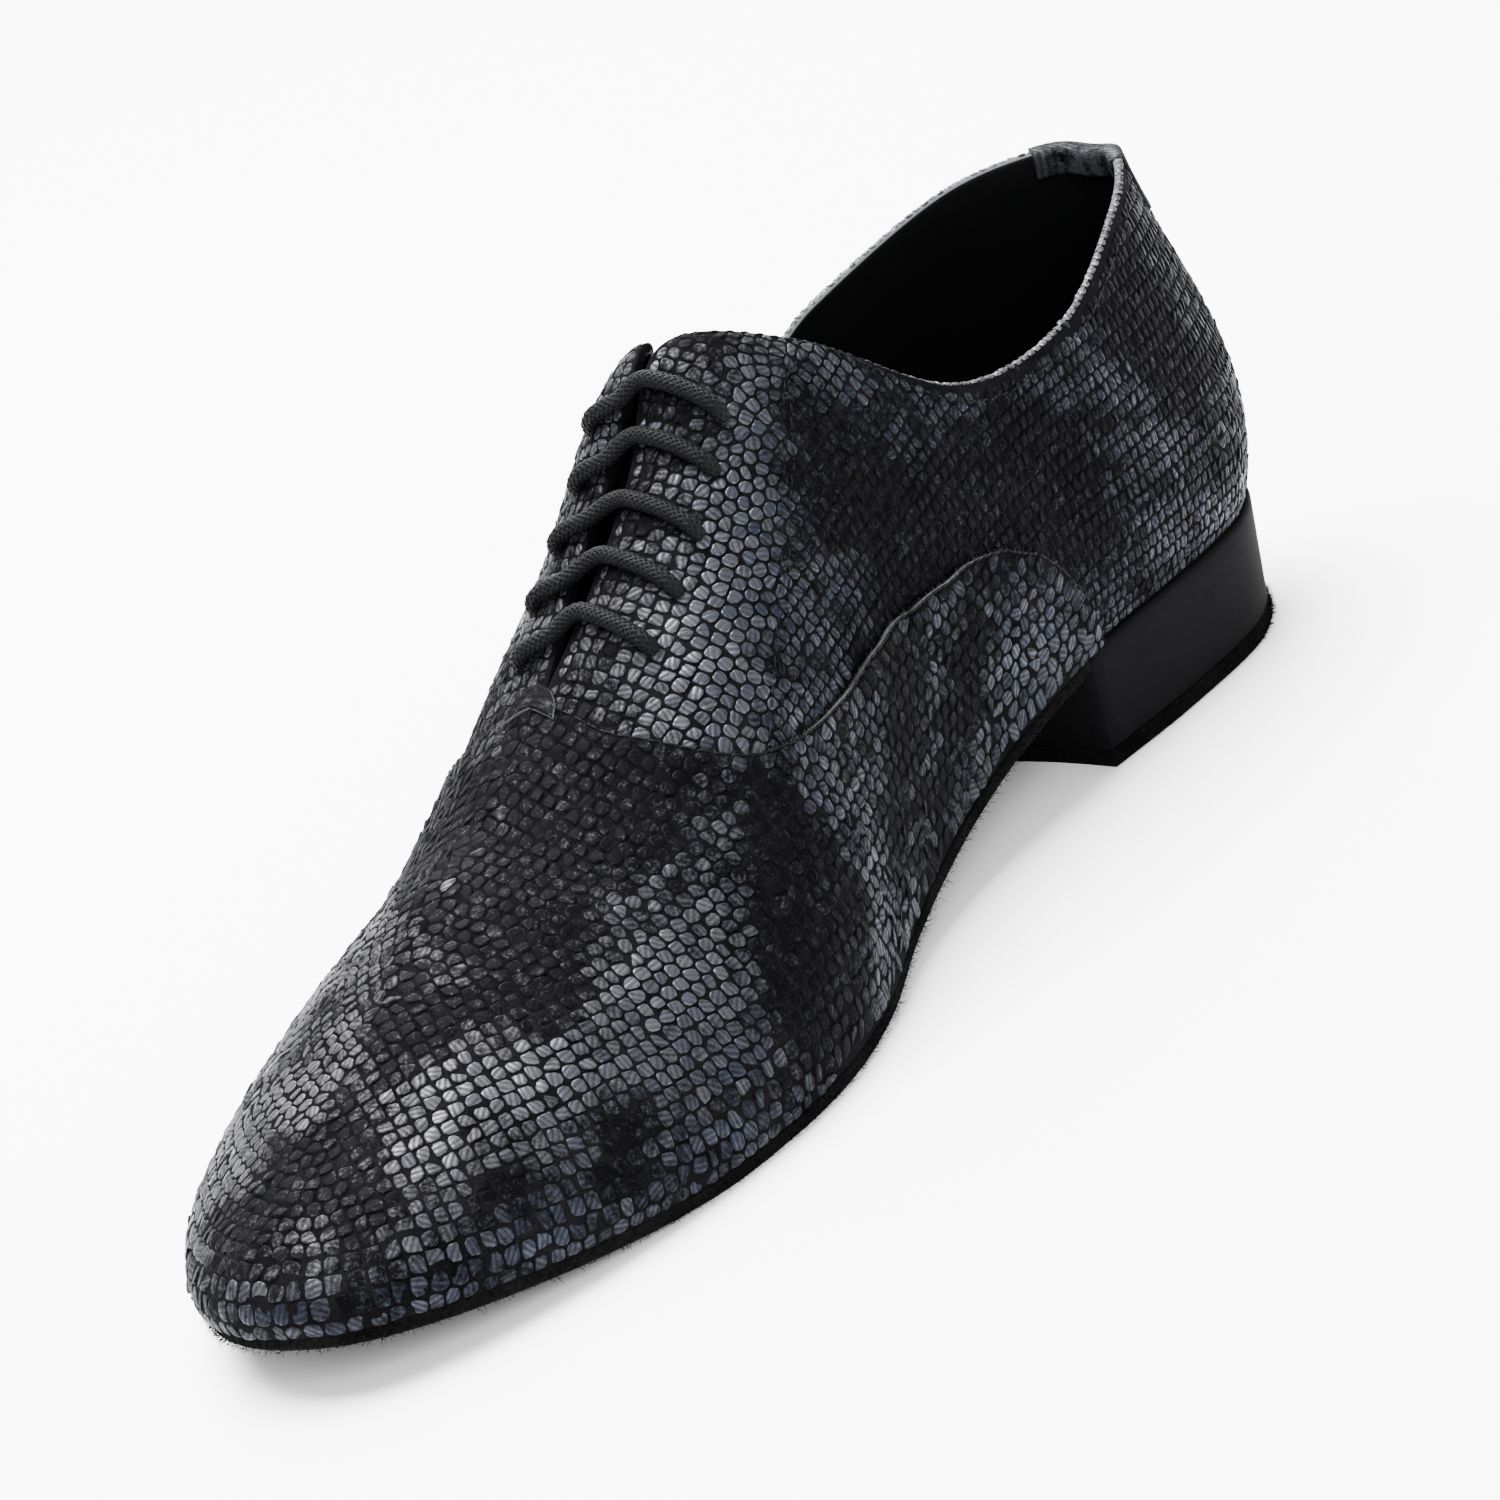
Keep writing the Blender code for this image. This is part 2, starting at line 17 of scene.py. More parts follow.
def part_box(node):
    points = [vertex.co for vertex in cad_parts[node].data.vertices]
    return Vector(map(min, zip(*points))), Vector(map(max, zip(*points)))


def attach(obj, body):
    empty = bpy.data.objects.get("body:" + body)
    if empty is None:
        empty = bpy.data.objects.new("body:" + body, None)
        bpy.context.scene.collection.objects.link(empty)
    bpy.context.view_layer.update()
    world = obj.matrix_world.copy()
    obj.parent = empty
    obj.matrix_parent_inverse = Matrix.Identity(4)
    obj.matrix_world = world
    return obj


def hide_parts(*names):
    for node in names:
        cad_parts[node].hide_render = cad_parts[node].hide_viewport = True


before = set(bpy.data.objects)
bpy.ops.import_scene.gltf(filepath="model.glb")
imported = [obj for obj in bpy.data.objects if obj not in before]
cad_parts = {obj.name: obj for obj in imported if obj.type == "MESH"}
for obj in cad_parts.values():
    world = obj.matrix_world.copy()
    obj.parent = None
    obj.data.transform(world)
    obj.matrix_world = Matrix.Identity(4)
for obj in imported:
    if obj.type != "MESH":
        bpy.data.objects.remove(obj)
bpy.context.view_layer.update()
random = np.random.default_rng(7)

# Sizes of the last and of the shoe over it, as in the CAD
SHOE_LENGTH = 0.290
BALL_WIDTH = 0.097
SEAT_WIDTH = 0.058
BACK_HEIGHT = 0.0630
INSTEP_HEIGHT = 0.0960
THROAT_HEIGHT = 0.0620
TOE_HEIGHT = 0.0275
COLLAR_WIDTH = 0.055
SIDE_BULGE = 0.0064
TOE_SPRING = 0.0096
WALL = 0.0018
VAMP_THICKNESS = 0.0011
VAMP_GAP = 0.0004
OUTSOLE_THICKNESS = 0.0028
SOLE_EDGE = 0.0010
INSOLE_THICKNESS = 0.0020
HEEL_LIFT = 0.0196
HEEL_LENGTH = 0.076
HEEL_TAPER = 0.0018
BREAST_HOLLOW = 0.0030
TOP_PIECE_THICKNESS = 0.0032
TONGUE_THICKNESS = 0.0016
TONGUE_TOP_WIDTH = 0.050
TONGUE_TOE_WIDTH = 0.036
LACING_GAP = 0.0042
EYELET_SETBACK = 0.0160
FAR_EYELET_SETBACK = 0.0085
LACE_DIAMETER = 0.0030
BACK_STRIP_WIDTH = 0.020
BACK_STRIP_DEPTH = 0.010
BACK_STRIP_INSIDE = 0.004
CLEARANCE = 0.0003
SEAT_END = 0.20
BALL_START = 0.62
BALL_END = 0.75
RIBS_PER_SECTION = 3
STEPS_UP = 10

COLUMNS = (
    "seat", "near_x", "near_y", "far_x", "far_y", "top_x", "middle_y", "collar", "laced",
    "of", "near_top", "far_top", "bulge", "near_rise", "far_rise", "near_reach", "far_reach", "drop",
)
SECTIONS = (
    (1, .010, .00, .010, -.00, .010, .00, .00, 0, "back", 1.00, 1.01, 1.8, .35, .35, .03, .03, .32),
    (1, .028, .225, .030, -.26, .022, .00, .16, 0, "back", .995, 1.03, 1.8, .35, .35, .04, .04, .32),
    (1, .088, .41, .095, -.48, .085, .00, .36, 0, "back", .950, 1.03, 1.3, .33, .33, .04, .04, .30),
    (1, .180, .45, .198, -.53, .198, .00, .50, 0, "back", .820, .935, 1.1, .31, .31, .04, .04, .30),
    (.75, .276, .37, .300, -.46, .296, .00, .48, 0, "back", .91, .865, 1.2, .29, .29, .05, .05, .31),
    (.45, .360, .31, .398, -.43, .380, .015, .31, 0, "instep", .87, .8, 1.3, .35, .28, .15, .12, .11),
    (.20, .432, .30, .472, -.43, .440, .025, 0, .5, "instep", .995, .995, 1.2, .42, .26, .27, .20, .02),
    (0, .505, .33, .542, -.43, .503, .025, 0, .5, "instep", .87, .87, 1.0, .40, .25, .28, .20, .02),
    (0, .578, .42, .610, -.455, .563, .025, 0, .5, "instep", .77, .77, 0.9, .36, .25, .27, .20, .02),
    (0, .655, .485, .680, -.47, .622, .025, 0, 0, "throat", 1.02, 1.02, .9, .30, .26, .25, .20, .03),
    (0, .731, .495, .752, -.46, .692, .035, 0, 0, "throat", .840, .840, .9, .28, .28, .22, .20, .02),
    (0, .808, .465, .824, -.415, .760, .055, 0, 0, "throat", .735, .735, 1.0, .29, .29, .21, .20, 0),
    (0, .883, .405, .890, -.33, .828, .075, 0, 0, "toe", 1.36, 1.36, 1.0, .27, .27, .17, .17, 0),
    (0, .950, .325, .950, -.175, .886, .09, 0, 0, "toe", 1.01, 1.01, 0.8, .33, .33, .13, .13, 0),
    (0, .988, .235, .988, -.03, .923, .10, 0, 0, "toe", .765, .765, 0.65, .36, .36, .10, .10, 0),
    (0, 1.00, .105, 1.00, .105, .938, .10, 0, 0, "toe", .680, .680, 0.65, .38, .38, .09, .09, 0),
)
THROAT_SECTION = 9
LACED_SECTION = 6
TIP_SECTION = len(SECTIONS) - 1
RING = 2 * TIP_SECTION

# The vamp's seam, and the two eyelets of each lace bar: station and share up, near and far station
SEAM = (
    (3.70, .00), (3.74, .13), (3.82, .23), (3.96, .36), (4.12, .425), (4.42, .43),
    (4.76, .39), (5.16, .35), (5.68, .32), (6.24, .325), (6.80, .37), (7.32, .415),
    (7.72, .455), (7.98, .49), (8.22, .53), (8.40, .58), (8.54, .63), (8.68, .69),
    (8.84, .765), (8.93, .805), (8.96, .85), (8.98, .93), (9.00, 1.0),
)
BARS = ((6.34, 6.50), (6.70, 6.88), (7.18, 7.38), (7.68, 7.92), (8.18, 8.42))

# A rib that spans less than this leans out like the foot line, as in the CAD
LEAN_WIDTH = 0.012

# Sizes of what lies on the skin. The facing's stitches are stations and shares up
VAMP_LIFT = 0.0015
VAMP_LOW = 0.010
SCALE_HEIGHT = 0.00018
SCALE_BEVEL = 0.00010
SCALE_SHOULDER = 0.00042
SCALE_TILT = 0.11
LEAST_SCALE_AREA = 0.6e-6
GROOVE = 0.00036
BINDING_WIDTH = 0.0004
STITCH_LENGTH = 0.0019
STITCH_PITCH = 0.0026
STITCH_THICKNESS = 0.00042
SEAM_ROWS = (0.0024, 0.0048)
FACING_STITCH = ((5.36, .825), (6.10, .631), (6.78, .594), (7.44, .55), (8.06, .50), (8.3, .53))
FACING_ROWS = (0.0, 0.0024)
TOP_STITCH = 0.0030
BRAID_STRANDS = 16
BRAID_PITCH = 0.0085
FIBRE_THICKNESS = 0.00013
TAB_HALF_WIDTH = 0.0052
TAB_REACH = 0.0046
TAB_LIFT = 0.0017
STRIP_THICKNESS = 0.0006
STRIP_LIFT = 0.0004

# How much foil the print has on each panel, before its blotches
VAMP_FOIL = 0.46
QUARTER_FOIL = 0.30
FACING_FOIL = 0.38
# The rim's foil is real but set near full so its colour also stands in for the rim's highlights: partly
# painted highlight
RIM_FOIL_AND_HIGHLIGHT = 0.95
TAB_FOIL = 0.02
STRIP_FOIL = 0.35
# Painted light for pieces without scales: an even middle level between the aside-facing and up-facing
# colours
PLAIN_PAINTED_LIGHT = 0.6

# Places in a piece's list of materials
OUTSIDE, EDGE_LOOK, INSIDE = 0, 1, 2

# Where the print has no foil, and where it has the most: place round the ring, share up,
# length along and up in metres, lean in degrees, strength (minus takes foil away)
BLOTCHES = (
    (9.80, .96, .017, .020, 20, -0.9), (9.96, .82, .013, .014, 0, -0.9), (9.40, .80, .009, .012, 0, -0.8),
    (10.6, .77, .009, .013, 30, -0.9), (11.0, .68, .005, .012, 30, -0.7), (8.28, .37, .006, .018, 10, -0.8),
    (8.76, .30, .006, .016, 5, -0.9), (9.12, .19, .007, .012, 0, -0.8), (13.5, .90, .010, .009, 0, -0.7),
    (15.6, .60, .009, .010, 0, -0.7), (11.9, .79, .010, .006, 0, -0.6), (12.1, .34, .009, .005, 20, -0.5),
    (11.3, .25, .010, .007, 10, -0.4), (6.24, .26, .012, .016, 0, -0.5), (5.24, .21, .007, .012, 20, -0.5),
    (7.0, .18, .010, .010, 0, -0.5), (6.3, .08, .012, .010, 0, -0.2),
    (9.14, .55, .008, .016, 0, 0.25), (9.85, .47, .010, .010, 0, 0.25), (12.1, .64, .016, .007, 30, 0.3),
    (11.2, .50, .018, .008, 20, 0.35), (10.4, .46, .010, .010, 0, 0.2), (4.55, .18, .010, .014, 0, 0.3),
    (5.3, .50, .024, .012, 0, -0.5), (4.0, .72, .014, .016, 0, -0.5), (3.8, .46, .014, .010, 0, -0.4),
    (2.2, .60, .008, .014, 20, -0.3), (1.6, .50, .020, .030, 0, -0.22), (13.2, .97, .022, .014, 0, -0.22),
    (11.2, .98, .016, .008, 0, -0.15), (7.0, .93, .020, .005, 0, -0.3), (6.7, .70, .030, .006, 0, 0.6),
    (8.0, .72, .020, .008, 0, 0.5), (3.1, .10, .030, .010, 0, 0.2),
    (20.2, .82, .014, .014, 0, -0.7), (22.0, .5, .018, .014, 20, -0.7), (25.5, .5, .030, .020, 0, -0.6),
    (18.6, .5, .014, .012, 0, 0.3), (27.6, .5, .014, .018, 0, -0.4), (17.2, .80, .012, .008, 0, 0.4),
)


def unit(vectors):
    return vectors / np.linalg.norm(vectors, axis=-1, keepdims=True)


def smooth(share):
    share = np.clip(share, 0.0, 1.0)
    return share * share * (3.0 - 2.0 * share)


def bottom_height(x):
    arch = 1.0 - smooth((x / SHOE_LENGTH - SEAT_END) / (BALL_START - SEAT_END))
    toe = np.clip((x / SHOE_LENGTH - BALL_END) / (1.0 - BALL_END), 0.0, None) ** 1.5
    return OUTSOLE_THICKNESS + CLEARANCE + HEEL_LIFT * arch + TOE_SPRING * toe


def ring_table():
    tops = {"back": BACK_HEIGHT, "instep": INSTEP_HEIGHT, "throat": THROAT_HEIGHT, "toe": TOE_HEIGHT}
    table = []
    for index in range(RING):
        near = index <= TIP_SECTION
        side = "near" if near else "far"
        row = dict(zip(COLUMNS, SECTIONS[index if near else RING - index]))
        width = row["seat"] * SEAT_WIDTH + (1.0 - row["seat"]) * BALL_WIDTH
        opening = row["collar"] * COLLAR_WIDTH + row["laced"] * LACING_GAP
        top = row[side + "_top"] * tops[row["of"]]
        table.append((
            row[side + "_x"] * SHOE_LENGTH, row[side + "_y"] * width, row["top_x"] * SHOE_LENGTH,
            row["middle_y"] * width, opening if near else -opening, top, row["bulge"] * SIDE_BULGE,
            row[side + "_rise"] * top, row[side + "_reach"] * width, row["drop"] * top,
        ))
    return np.array(table)


RING_TABLE = ring_table()


def ring_row(place):
    start = np.floor(place).astype(int)
    part = (place - start)[..., None]
    before, here, after, beyond = (RING_TABLE[(start + step) % RING] for step in (-1, 0, 1, 2))
    bend = 2 * before - 5 * here + 4 * after - beyond
    twist = 3 * here - before - 3 * after + beyond
    return 0.5 * (2 * here + (after - before) * part + bend * part**2 + twist * part**3)


def foot(place, margin=0.0):
    place = np.asarray(place, float)
    along = ring_row(place + 0.02)[..., :2] - ring_row(place - 0.02)[..., :2]
    outward = unit(np.stack([-along[..., 1], along[..., 0]], -1))
    flat = ring_row(place)[..., :2]
    height = bottom_height(flat[..., 0])
    return np.concatenate([flat + margin * outward, height[..., None]], -1), outward


def crest_slope(station, aside):
    before = np.minimum(station, TIP_SECTION - 0.4)
    ends = [ring_row(before + step) for step in (-0.05, 0.05)]
    tops = [np.stack([row[..., 2], row[..., 3]], -1) for row in ends]
    heights = [bottom_height(row[..., 2]) + row[..., 5] for row in ends]
    run = tops[1] - tops[0]
    slope = (heights[1] - heights[0]) / np.maximum(np.linalg.norm(run, axis=-1) ** 2, 1e-12)
    return smooth((station - LACED_SECTION - 2.0) / 1.2) * slope * np.sum(run * aside, axis=-1)


def outside(place, up):
    """Points on the outside of the upper, as in the CAD, before the whole shoe is centred."""
    place, up = np.broadcast_arrays(np.asarray(place, float), np.asarray(up, float))
    row = ring_row(place)
    start, outward = foot(place)
    turned = np.mod(place, RING)
    near = turned <= TIP_SECTION
    station = np.where(near, turned, RING - turned)
    opening = np.where(near, np.maximum(row[..., 4], 0), np.minimum(row[..., 4], 0))
    opening = np.where(station >= THROAT_SECTION, 0.0, opening)
    opening = np.where(station < 0.5, row[..., 4], opening)
    top = np.stack([row[..., 2], row[..., 3] + opening, bottom_height(row[..., 2]) + row[..., 5]], -1)
    across = start[..., :2] - top[..., :2]
    span = np.linalg.norm(across, axis=-1, keepdims=True)
    lean = np.clip(span / LEAN_WIDTH, 0.0, 1.0)
    aside = unit(across / np.maximum(span, 1e-6) * lean + outward * (1.0 - lean))
    low = start.copy()
    low[..., :2] += outward * row[..., 6:7]
    low[..., 2] += row[..., 7]
    high = top.copy()
    high[..., :2] += aside * row[..., 8:9]
    high[..., 2] += crest_slope(station, aside) * row[..., 8] - row[..., 9]
    up = up[..., None]
    rest = 1.0 - up
    return rest**3 * start + 3 * rest**2 * up * low + 3 * rest * up**2 * high + up**3 * top


def cad_centre():
    """How far the CAD was moved to centre it, found from its upper's box."""
    places = np.arange(RING * RIBS_PER_SECTION) / RIBS_PER_SECTION
    points = outside(places[:, None], np.linspace(0.0, 1.0, STEPS_UP + 1)[None, :]).reshape(-1, 3)
    low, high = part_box("upper")
    here = (points.max(0) + points.min(0)) / 2
    there = (np.array(low) + np.array(high)) / 2
    return np.array((there[0] - here[0], there[1] - here[1], 0.0))


SHIFT = cad_centre()


def station_of(place):
    turned = np.mod(place, RING)
    return np.where(turned <= TIP_SECTION, turned, RING - turned)


def normal_at(place, up):
    """Which way the skin faces. Past the throat a step up goes over the crest to the other side."""
    step = 0.004
    place, up = np.broadcast_arrays(np.asarray(place, float), np.asarray(up, float))
    along = outside(place + step, up) - outside(place - step, up)
    over_crest = (up + step > 1.0) & (station_of(place) >= THROAT_SECTION)
    place_ahead = np.where(over_crest, RING - place, place)
    up_ahead = np.where(over_crest, 2.0 - up - step, np.minimum(up + step, 1.0))
    rise = outside(place_ahead, up_ahead) - outside(place, np.maximum(up - step, 0.0))
    normal = np.cross(rise, along)
    length = np.linalg.norm(normal, axis=-1, keepdims=True)
    return normal / np.maximum(length, 1e-12)


def read_line(station, line, **ends):
    """The share up at a station, from a table of stations and shares."""
    return np.interp(station, [row[0] for row in line], [row[1] for row in line], **ends)


def seam_up(station):
    return read_line(station, SEAM, left=0.0, right=1.0)


# Soft troughs and ridges, in the shoe's own places: place, up, length along, length up, depth
CREASES = (
    (9.6, .60, .010, .026, -.0006), (8.9, .45, .006, .024, .0004), (10.3, .66, .008, .022, .0003),
    (20.5, .60, .010, .026, -.0006), (21.2, .45, .006, .024, .0004), (7.6, .33, .014, .008, -.0005),
    (5.6, .52, .012, .020, -.0008), (24.5, .52, .012, .020, -.0008), (6.6, .80, .008, .012, -.0004),
    (3.6, .55, .014, .018, -.0006), (26.4, .55, .014, .018, -.0006), (1.6, .60, .010, .016, -.0004),
)


def spot_on(place, up):
    """The point at a place and share up, and the way round the shoe there."""
    place, up = np.array(place), np.array(up)
    ahead = outside(place + 0.05, up) - outside(place - 0.05, up)
    return outside(place, up) + SHIFT, unit(ahead)


def crease(points):
    """How far the skin lies off the last's smooth shape, at points already in the CAD's frame."""
    depth = np.zeros(points.shape[:-1])
    for place, up, along, over, amount in CREASES:
        centre, ahead = spot_on(place, up)
        away = points - centre
        run = away @ ahead
        rest = np.sqrt(np.maximum(np.sum(away**2, -1) - run**2, 0.0))
        depth += amount * np.exp(-(run / along) ** 2 - (rest / over) ** 2)
    return depth


def skin(place, up, lift=0.0):
    """Points on the shoe's skin in the CAD's frame, with its creases, raised by lift."""
    place, up = np.broadcast_arrays(np.asarray(place, float), np.asarray(up, float))
    points = outside(place, up) + SHIFT
    return points + normal_at(place, up) * (crease(points) + lift)[..., None]


def rib_lengths(places):
    """Shares up, and for each of a list of places the length walked up its rib to each share."""
    ups = np.linspace(0.0, 1.0, 121)
    points = outside(places[:, None], ups[None, :])
    steps = np.linalg.norm(np.diff(points, axis=1), axis=2)
    return ups, np.concatenate([np.zeros((len(places), 1)), np.cumsum(steps, axis=1)], axis=1)


def share_down(place, distance):
    ups, lengths = rib_lengths(np.array([float(place)]))
    return float(np.interp(lengths[0, -1] - distance, lengths[0], ups))


def share_of(places, distance):
    """What share of each rib's length a distance is."""
    return distance / rib_lengths(np.mod(places, RING))[1][:, -1]


def walk(line):
    """The length walked along a line up to each of its points."""
    return np.concatenate([[0.0], np.cumsum(np.linalg.norm(np.diff(line, axis=0), axis=1))])


def spread(marks, walked, line):
    """Points of a line at these lengths walked along it."""
    return np.stack([np.interp(marks, walked, line[:, k]) for k in range(3)], 1)


def curve_points(places, ups, step):
    """Places and shares up at even steps along a line on the skin."""
    walked = walk(outside(places, ups))
    marks = np.arange(step / 2, walked[-1], step)
    return np.interp(marks, walked, places), np.interp(marks, walked, ups)


def rim_frame(places):
    """Points on the top edge, with the way up the skin and the way out of it."""
    ones = np.ones(len(places))
    top = skin(places, ones)
    return top, unit(top - skin(places, 0.97 * ones)), normal_at(places, ones)


# Meshes

def add_mesh(name, points, faces, looks, face_looks=None):
    mesh = bpy.data.meshes.new(name)
    mesh.from_pydata(np.asarray(points).tolist(), [], [list(map(int, face)) for face in faces])
    for look in looks:
        mesh.materials.append(look)
    if face_looks is not None:
        mesh.polygons.foreach_set("material_index", np.asarray(face_looks, np.int32))
    mesh.polygons.foreach_set("use_smooth", [True] * len(mesh.polygons))
    mesh.update()
    obj = bpy.data.objects.new(name, mesh)
    bpy.context.scene.collection.objects.link(obj)
    return obj


def grid_faces(rows, columns, closed=False):
    """Faces of a grid whose points are listed column by column."""
    faces = []
    for c in range(columns if closed else columns - 1):
        d = (c + 1) % columns
        for r in range(rows - 1):
            faces.append([c * rows + r, c * rows + r + 1, d * rows + r + 1, d * rows + r])
    return faces


def bands(base, levels, count):
    """Faces between rings of count points, which are listed one ring after another."""
    faces = []
    for level in range(levels):
        for k in range(count):
            a, b = base + level * count + k, base + level * count + (k + 1) % count
            faces.append([a, b, b + count, a + count])
    return faces


def end_caps(base, levels, count):
    last = base + levels * count
    return [[base + k for k in reversed(range(count))], [last + k for k in range(count)]]


def mend(obj, merge, outward):
    """Merges points that coincide, and turns all faces outward."""
    shape = bmesh.new()
    shape.from_mesh(obj.data)
    if merge:
        bmesh.ops.remove_doubles(shape, verts=shape.verts, dist=2e-6)
        bmesh.ops.dissolve_degenerate(shape, edges=shape.edges, dist=1e-7)
    if outward:
        bmesh.ops.recalc_face_normals(shape, faces=shape.faces)
    shape.to_mesh(obj.data)
    shape.free()
    return obj


def thicken(obj, thickness, rim_look=0):
    shell = obj.modifiers.new("thickness", "SOLIDIFY")
    shell.thickness = thickness
    shell.offset = 0.0
    shell.material_offset_rim = rim_look
    return obj


def add_print(mesh, foils, painted_lights, lines):
    """Stores what the print's material reads: the foil, its painted light (up-facing scales drawn lighter
    and more neutral), and places for its fine lines.
    """
    for name, kind, field, values in (
        ("foil", "FLOAT", "value", foils),
        ("painted_light", "FLOAT", "value", painted_lights),
        ("lines", "FLOAT_VECTOR", "vector", lines),
    ):
        attribute = mesh.attributes.new(name, kind, "POINT")
        attribute.data.foreach_set(field, np.array(values, np.float32).ravel())


def print_on(obj, foil):
    """Gives a mesh without scales the print's foil, an even middle level of painted light, and lines."""
    places = np.array([v.co for v in obj.data.vertices]) * 1e3
    add_print(obj.data, np.full(len(places), foil), np.full(len(places), PLAIN_PAINTED_LIGHT), places)
    return obj


def finish_piece(obj, node=None):
    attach(obj, "root")
    if node:
        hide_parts(node)


# Materials

def new_material(name):
    made = bpy.data.materials.new(name)
    made.use_nodes = True
    tree = made.node_tree
    return made, tree, tree.nodes["Principled BSDF"]


def link(tree, a, b):
    tree.links.new(a, b)


def set_inputs(node, **values):
    for name, value in values.items():
        node.inputs[name.replace("_", " ")].default_value = value


def noise(tree, scale, detail, rough=0.55):
    node = tree.nodes.new("ShaderNodeTexNoise")
    set_inputs(node, Scale=scale, Detail=detail, Roughness=rough)
    link(tree, tree.nodes.new("ShaderNodeTexCoord").outputs["Object"], node.inputs["Vector"])
    return node.outputs["Fac"]


def math_node(tree, kind, *values, clamp=False):
    node = tree.nodes.new("ShaderNodeMath")
    node.operation = kind
    node.use_clamp = clamp
    for socket, value in zip(node.inputs, values):
        if isinstance(value, float):
            socket.default_value = value
        else:
            link(tree, value, socket)
    return node.outputs[0]


def remap(tree, value, low, high, new_low, new_high):
    node = tree.nodes.new("ShaderNodeMapRange")
    link(tree, value, node.inputs["Value"])
    set_inputs(node, From_Min=low, From_Max=high, To_Min=new_low, To_Max=new_high)
    return node.outputs["Result"]


def mix_colour(tree, factor, first, second):
    node = tree.nodes.new("ShaderNodeMix")
    node.data_type = "RGBA"
    sockets = {s.name: s for s in node.inputs if s.enabled}
    link(tree, factor, sockets["Factor"])
    for socket, value in ((sockets["A"], first), (sockets["B"], second)):
        if isinstance(value, tuple):
            socket.default_value = (*value, 1.0)
        else:
            link(tree, value, socket)
    return next(s for s in node.outputs if s.enabled)


def bump(tree, height, strength, distance, shader):
    node = tree.nodes.new("ShaderNodeBump")
    set_inputs(node, Strength=strength, Distance=distance)
    link(tree, height, node.inputs["Height"])
    link(tree, node.outputs["Normal"], shader.inputs["Normal"])


def suede(name, dark, light, fine=2600.0):
    """A brushed nap: fine noise in the colour and in the bump, with a soft sheen."""
    made, tree, shader = new_material(name)
    nap = noise(tree, fine, 3.0)
    factor = remap(tree, math_node(tree, "MULTIPLY", nap, noise(tree, 90.0, 3.0)), 0.12, 0.42, 0.0, 1.0)
    link(tree, mix_colour(tree, factor, dark, light), shader.inputs["Base Color"])
    set_inputs(shader, Roughness=0.95, Specular_IOR_Level=0.01, Sheen_Weight=0.006, Sheen_Roughness=0.5)
    set_inputs(shader, Sheen_Tint=(0.6, 0.62, 0.68, 1.0))
    bump(tree, nap, 0.5, 0.0003, shader)
    return made


def scale_material():
    """Foil-printed scales: how much foil, a painted light and lines across each scale come with the mesh.
    """
    made, tree, shader = new_material("scale_print")
    stored = {}
    for name, output in (("foil", "Fac"), ("painted_light", "Fac"), ("lines", "Vector")):
        node = tree.nodes.new("ShaderNodeAttribute")
        node.attribute_name = name
        stored[name] = node.outputs[output]
    wave = tree.nodes.new("ShaderNodeTexWave")
    set_inputs(wave, Scale=0.32, Distortion=1.2, Detail=1.0, Detail_Scale=0.8)
    link(tree, stored["lines"], wave.inputs["Vector"])
    lines = wave.outputs["Fac"]
    wear = noise(tree, 420.0, 4.0, 0.7)
    patchy = math_node(tree, "MULTIPLY_ADD", wear, 1.7, stored["foil"])
    patchy = math_node(tree, "MULTIPLY_ADD", noise(tree, 2300.0, 3.0, 0.7), 1.1, patchy)
    worn = remap(tree, patchy, 1.50, 2.46, 0.0, 1.0)
    worn = math_node(tree, "MULTIPLY", worn, remap(tree, lines, 0.0, 1.0, 0.45, 1.1), clamp=True)
    # Painted light: base and foil colours run from dark and bluish where scales face aside to lighter and
    # neutral where they face up
    base = mix_colour(tree, stored["painted_light"], (0.0004, 0.0004, 0.0006), (0.0014, 0.0014, 0.0018))
    bright = mix_colour(tree, stored["painted_light"], (0.017, 0.020, 0.030), (0.076, 0.075, 0.081))
    link(tree, mix_colour(tree, worn, base, bright), shader.inputs["Base Color"])
    set_inputs(shader, Specular_IOR_Level=0.015)
    link(tree, math_node(tree, "MULTIPLY", worn, 0.75), shader.inputs["Metallic"])
    link(tree, remap(tree, worn, 0.0, 1.0, 0.60, 0.27), shader.inputs["Roughness"])
    grain = math_node(tree, "MULTIPLY", wear, 0.6)
    height = math_node(tree, "ADD", math_node(tree, "MULTIPLY", lines, 0.7), grain)
    bump(tree, height, 0.45, 0.00012, shader)
    return made


def plain(name, colour, roughness, grain=0.0, grain_scale=900.0, **sockets):
    made, tree, shader = new_material(name)
    set_inputs(shader, Base_Color=(*colour, 1.0), Roughness=roughness, **sockets)
    if grain:
        bump(tree, noise(tree, grain_scale, 5.0, 0.6), grain, 0.0003, shader)
    return made


NAP = suede("printed_suede_nap", (0.0005, 0.0005, 0.0006), (0.0036, 0.0036, 0.0041))
SCALES = scale_material()
SOLE_SUEDE = suede("sole_suede", (0.0008, 0.0008, 0.0008), (0.0040, 0.0040, 0.0042), 1800.0)
LINING = plain("smooth_lining", (0.0013, 0.0015, 0.0014), 0.55, 0.12, 1400.0, Specular_IOR_Level=0.05)
EDGE = suede("cut_edge", (0.014, 0.014, 0.015), (0.085, 0.086, 0.090), 3000.0)
PIPING = plain("collar_edge", (0.045, 0.047, 0.052), 0.5, 0.3, Specular_IOR_Level=0.1)
HEEL_COVER = plain("matte_heel_cover", (0.0022, 0.0022, 0.0026), 0.8, 0.35, 2200.0, Specular_IOR_Level=0.02)
THREAD = plain("black_thread", (0.0007, 0.0007, 0.0008), 0.5, 0.3, 4000.0, Specular_IOR_Level=0.05)
CORD = plain("waxed_cotton", (0.0017, 0.0018, 0.0022), 0.50, 0.5, 5000.0, Specular_IOR_Level=0.06)


# The skin: the upper's shell and the vamp over it

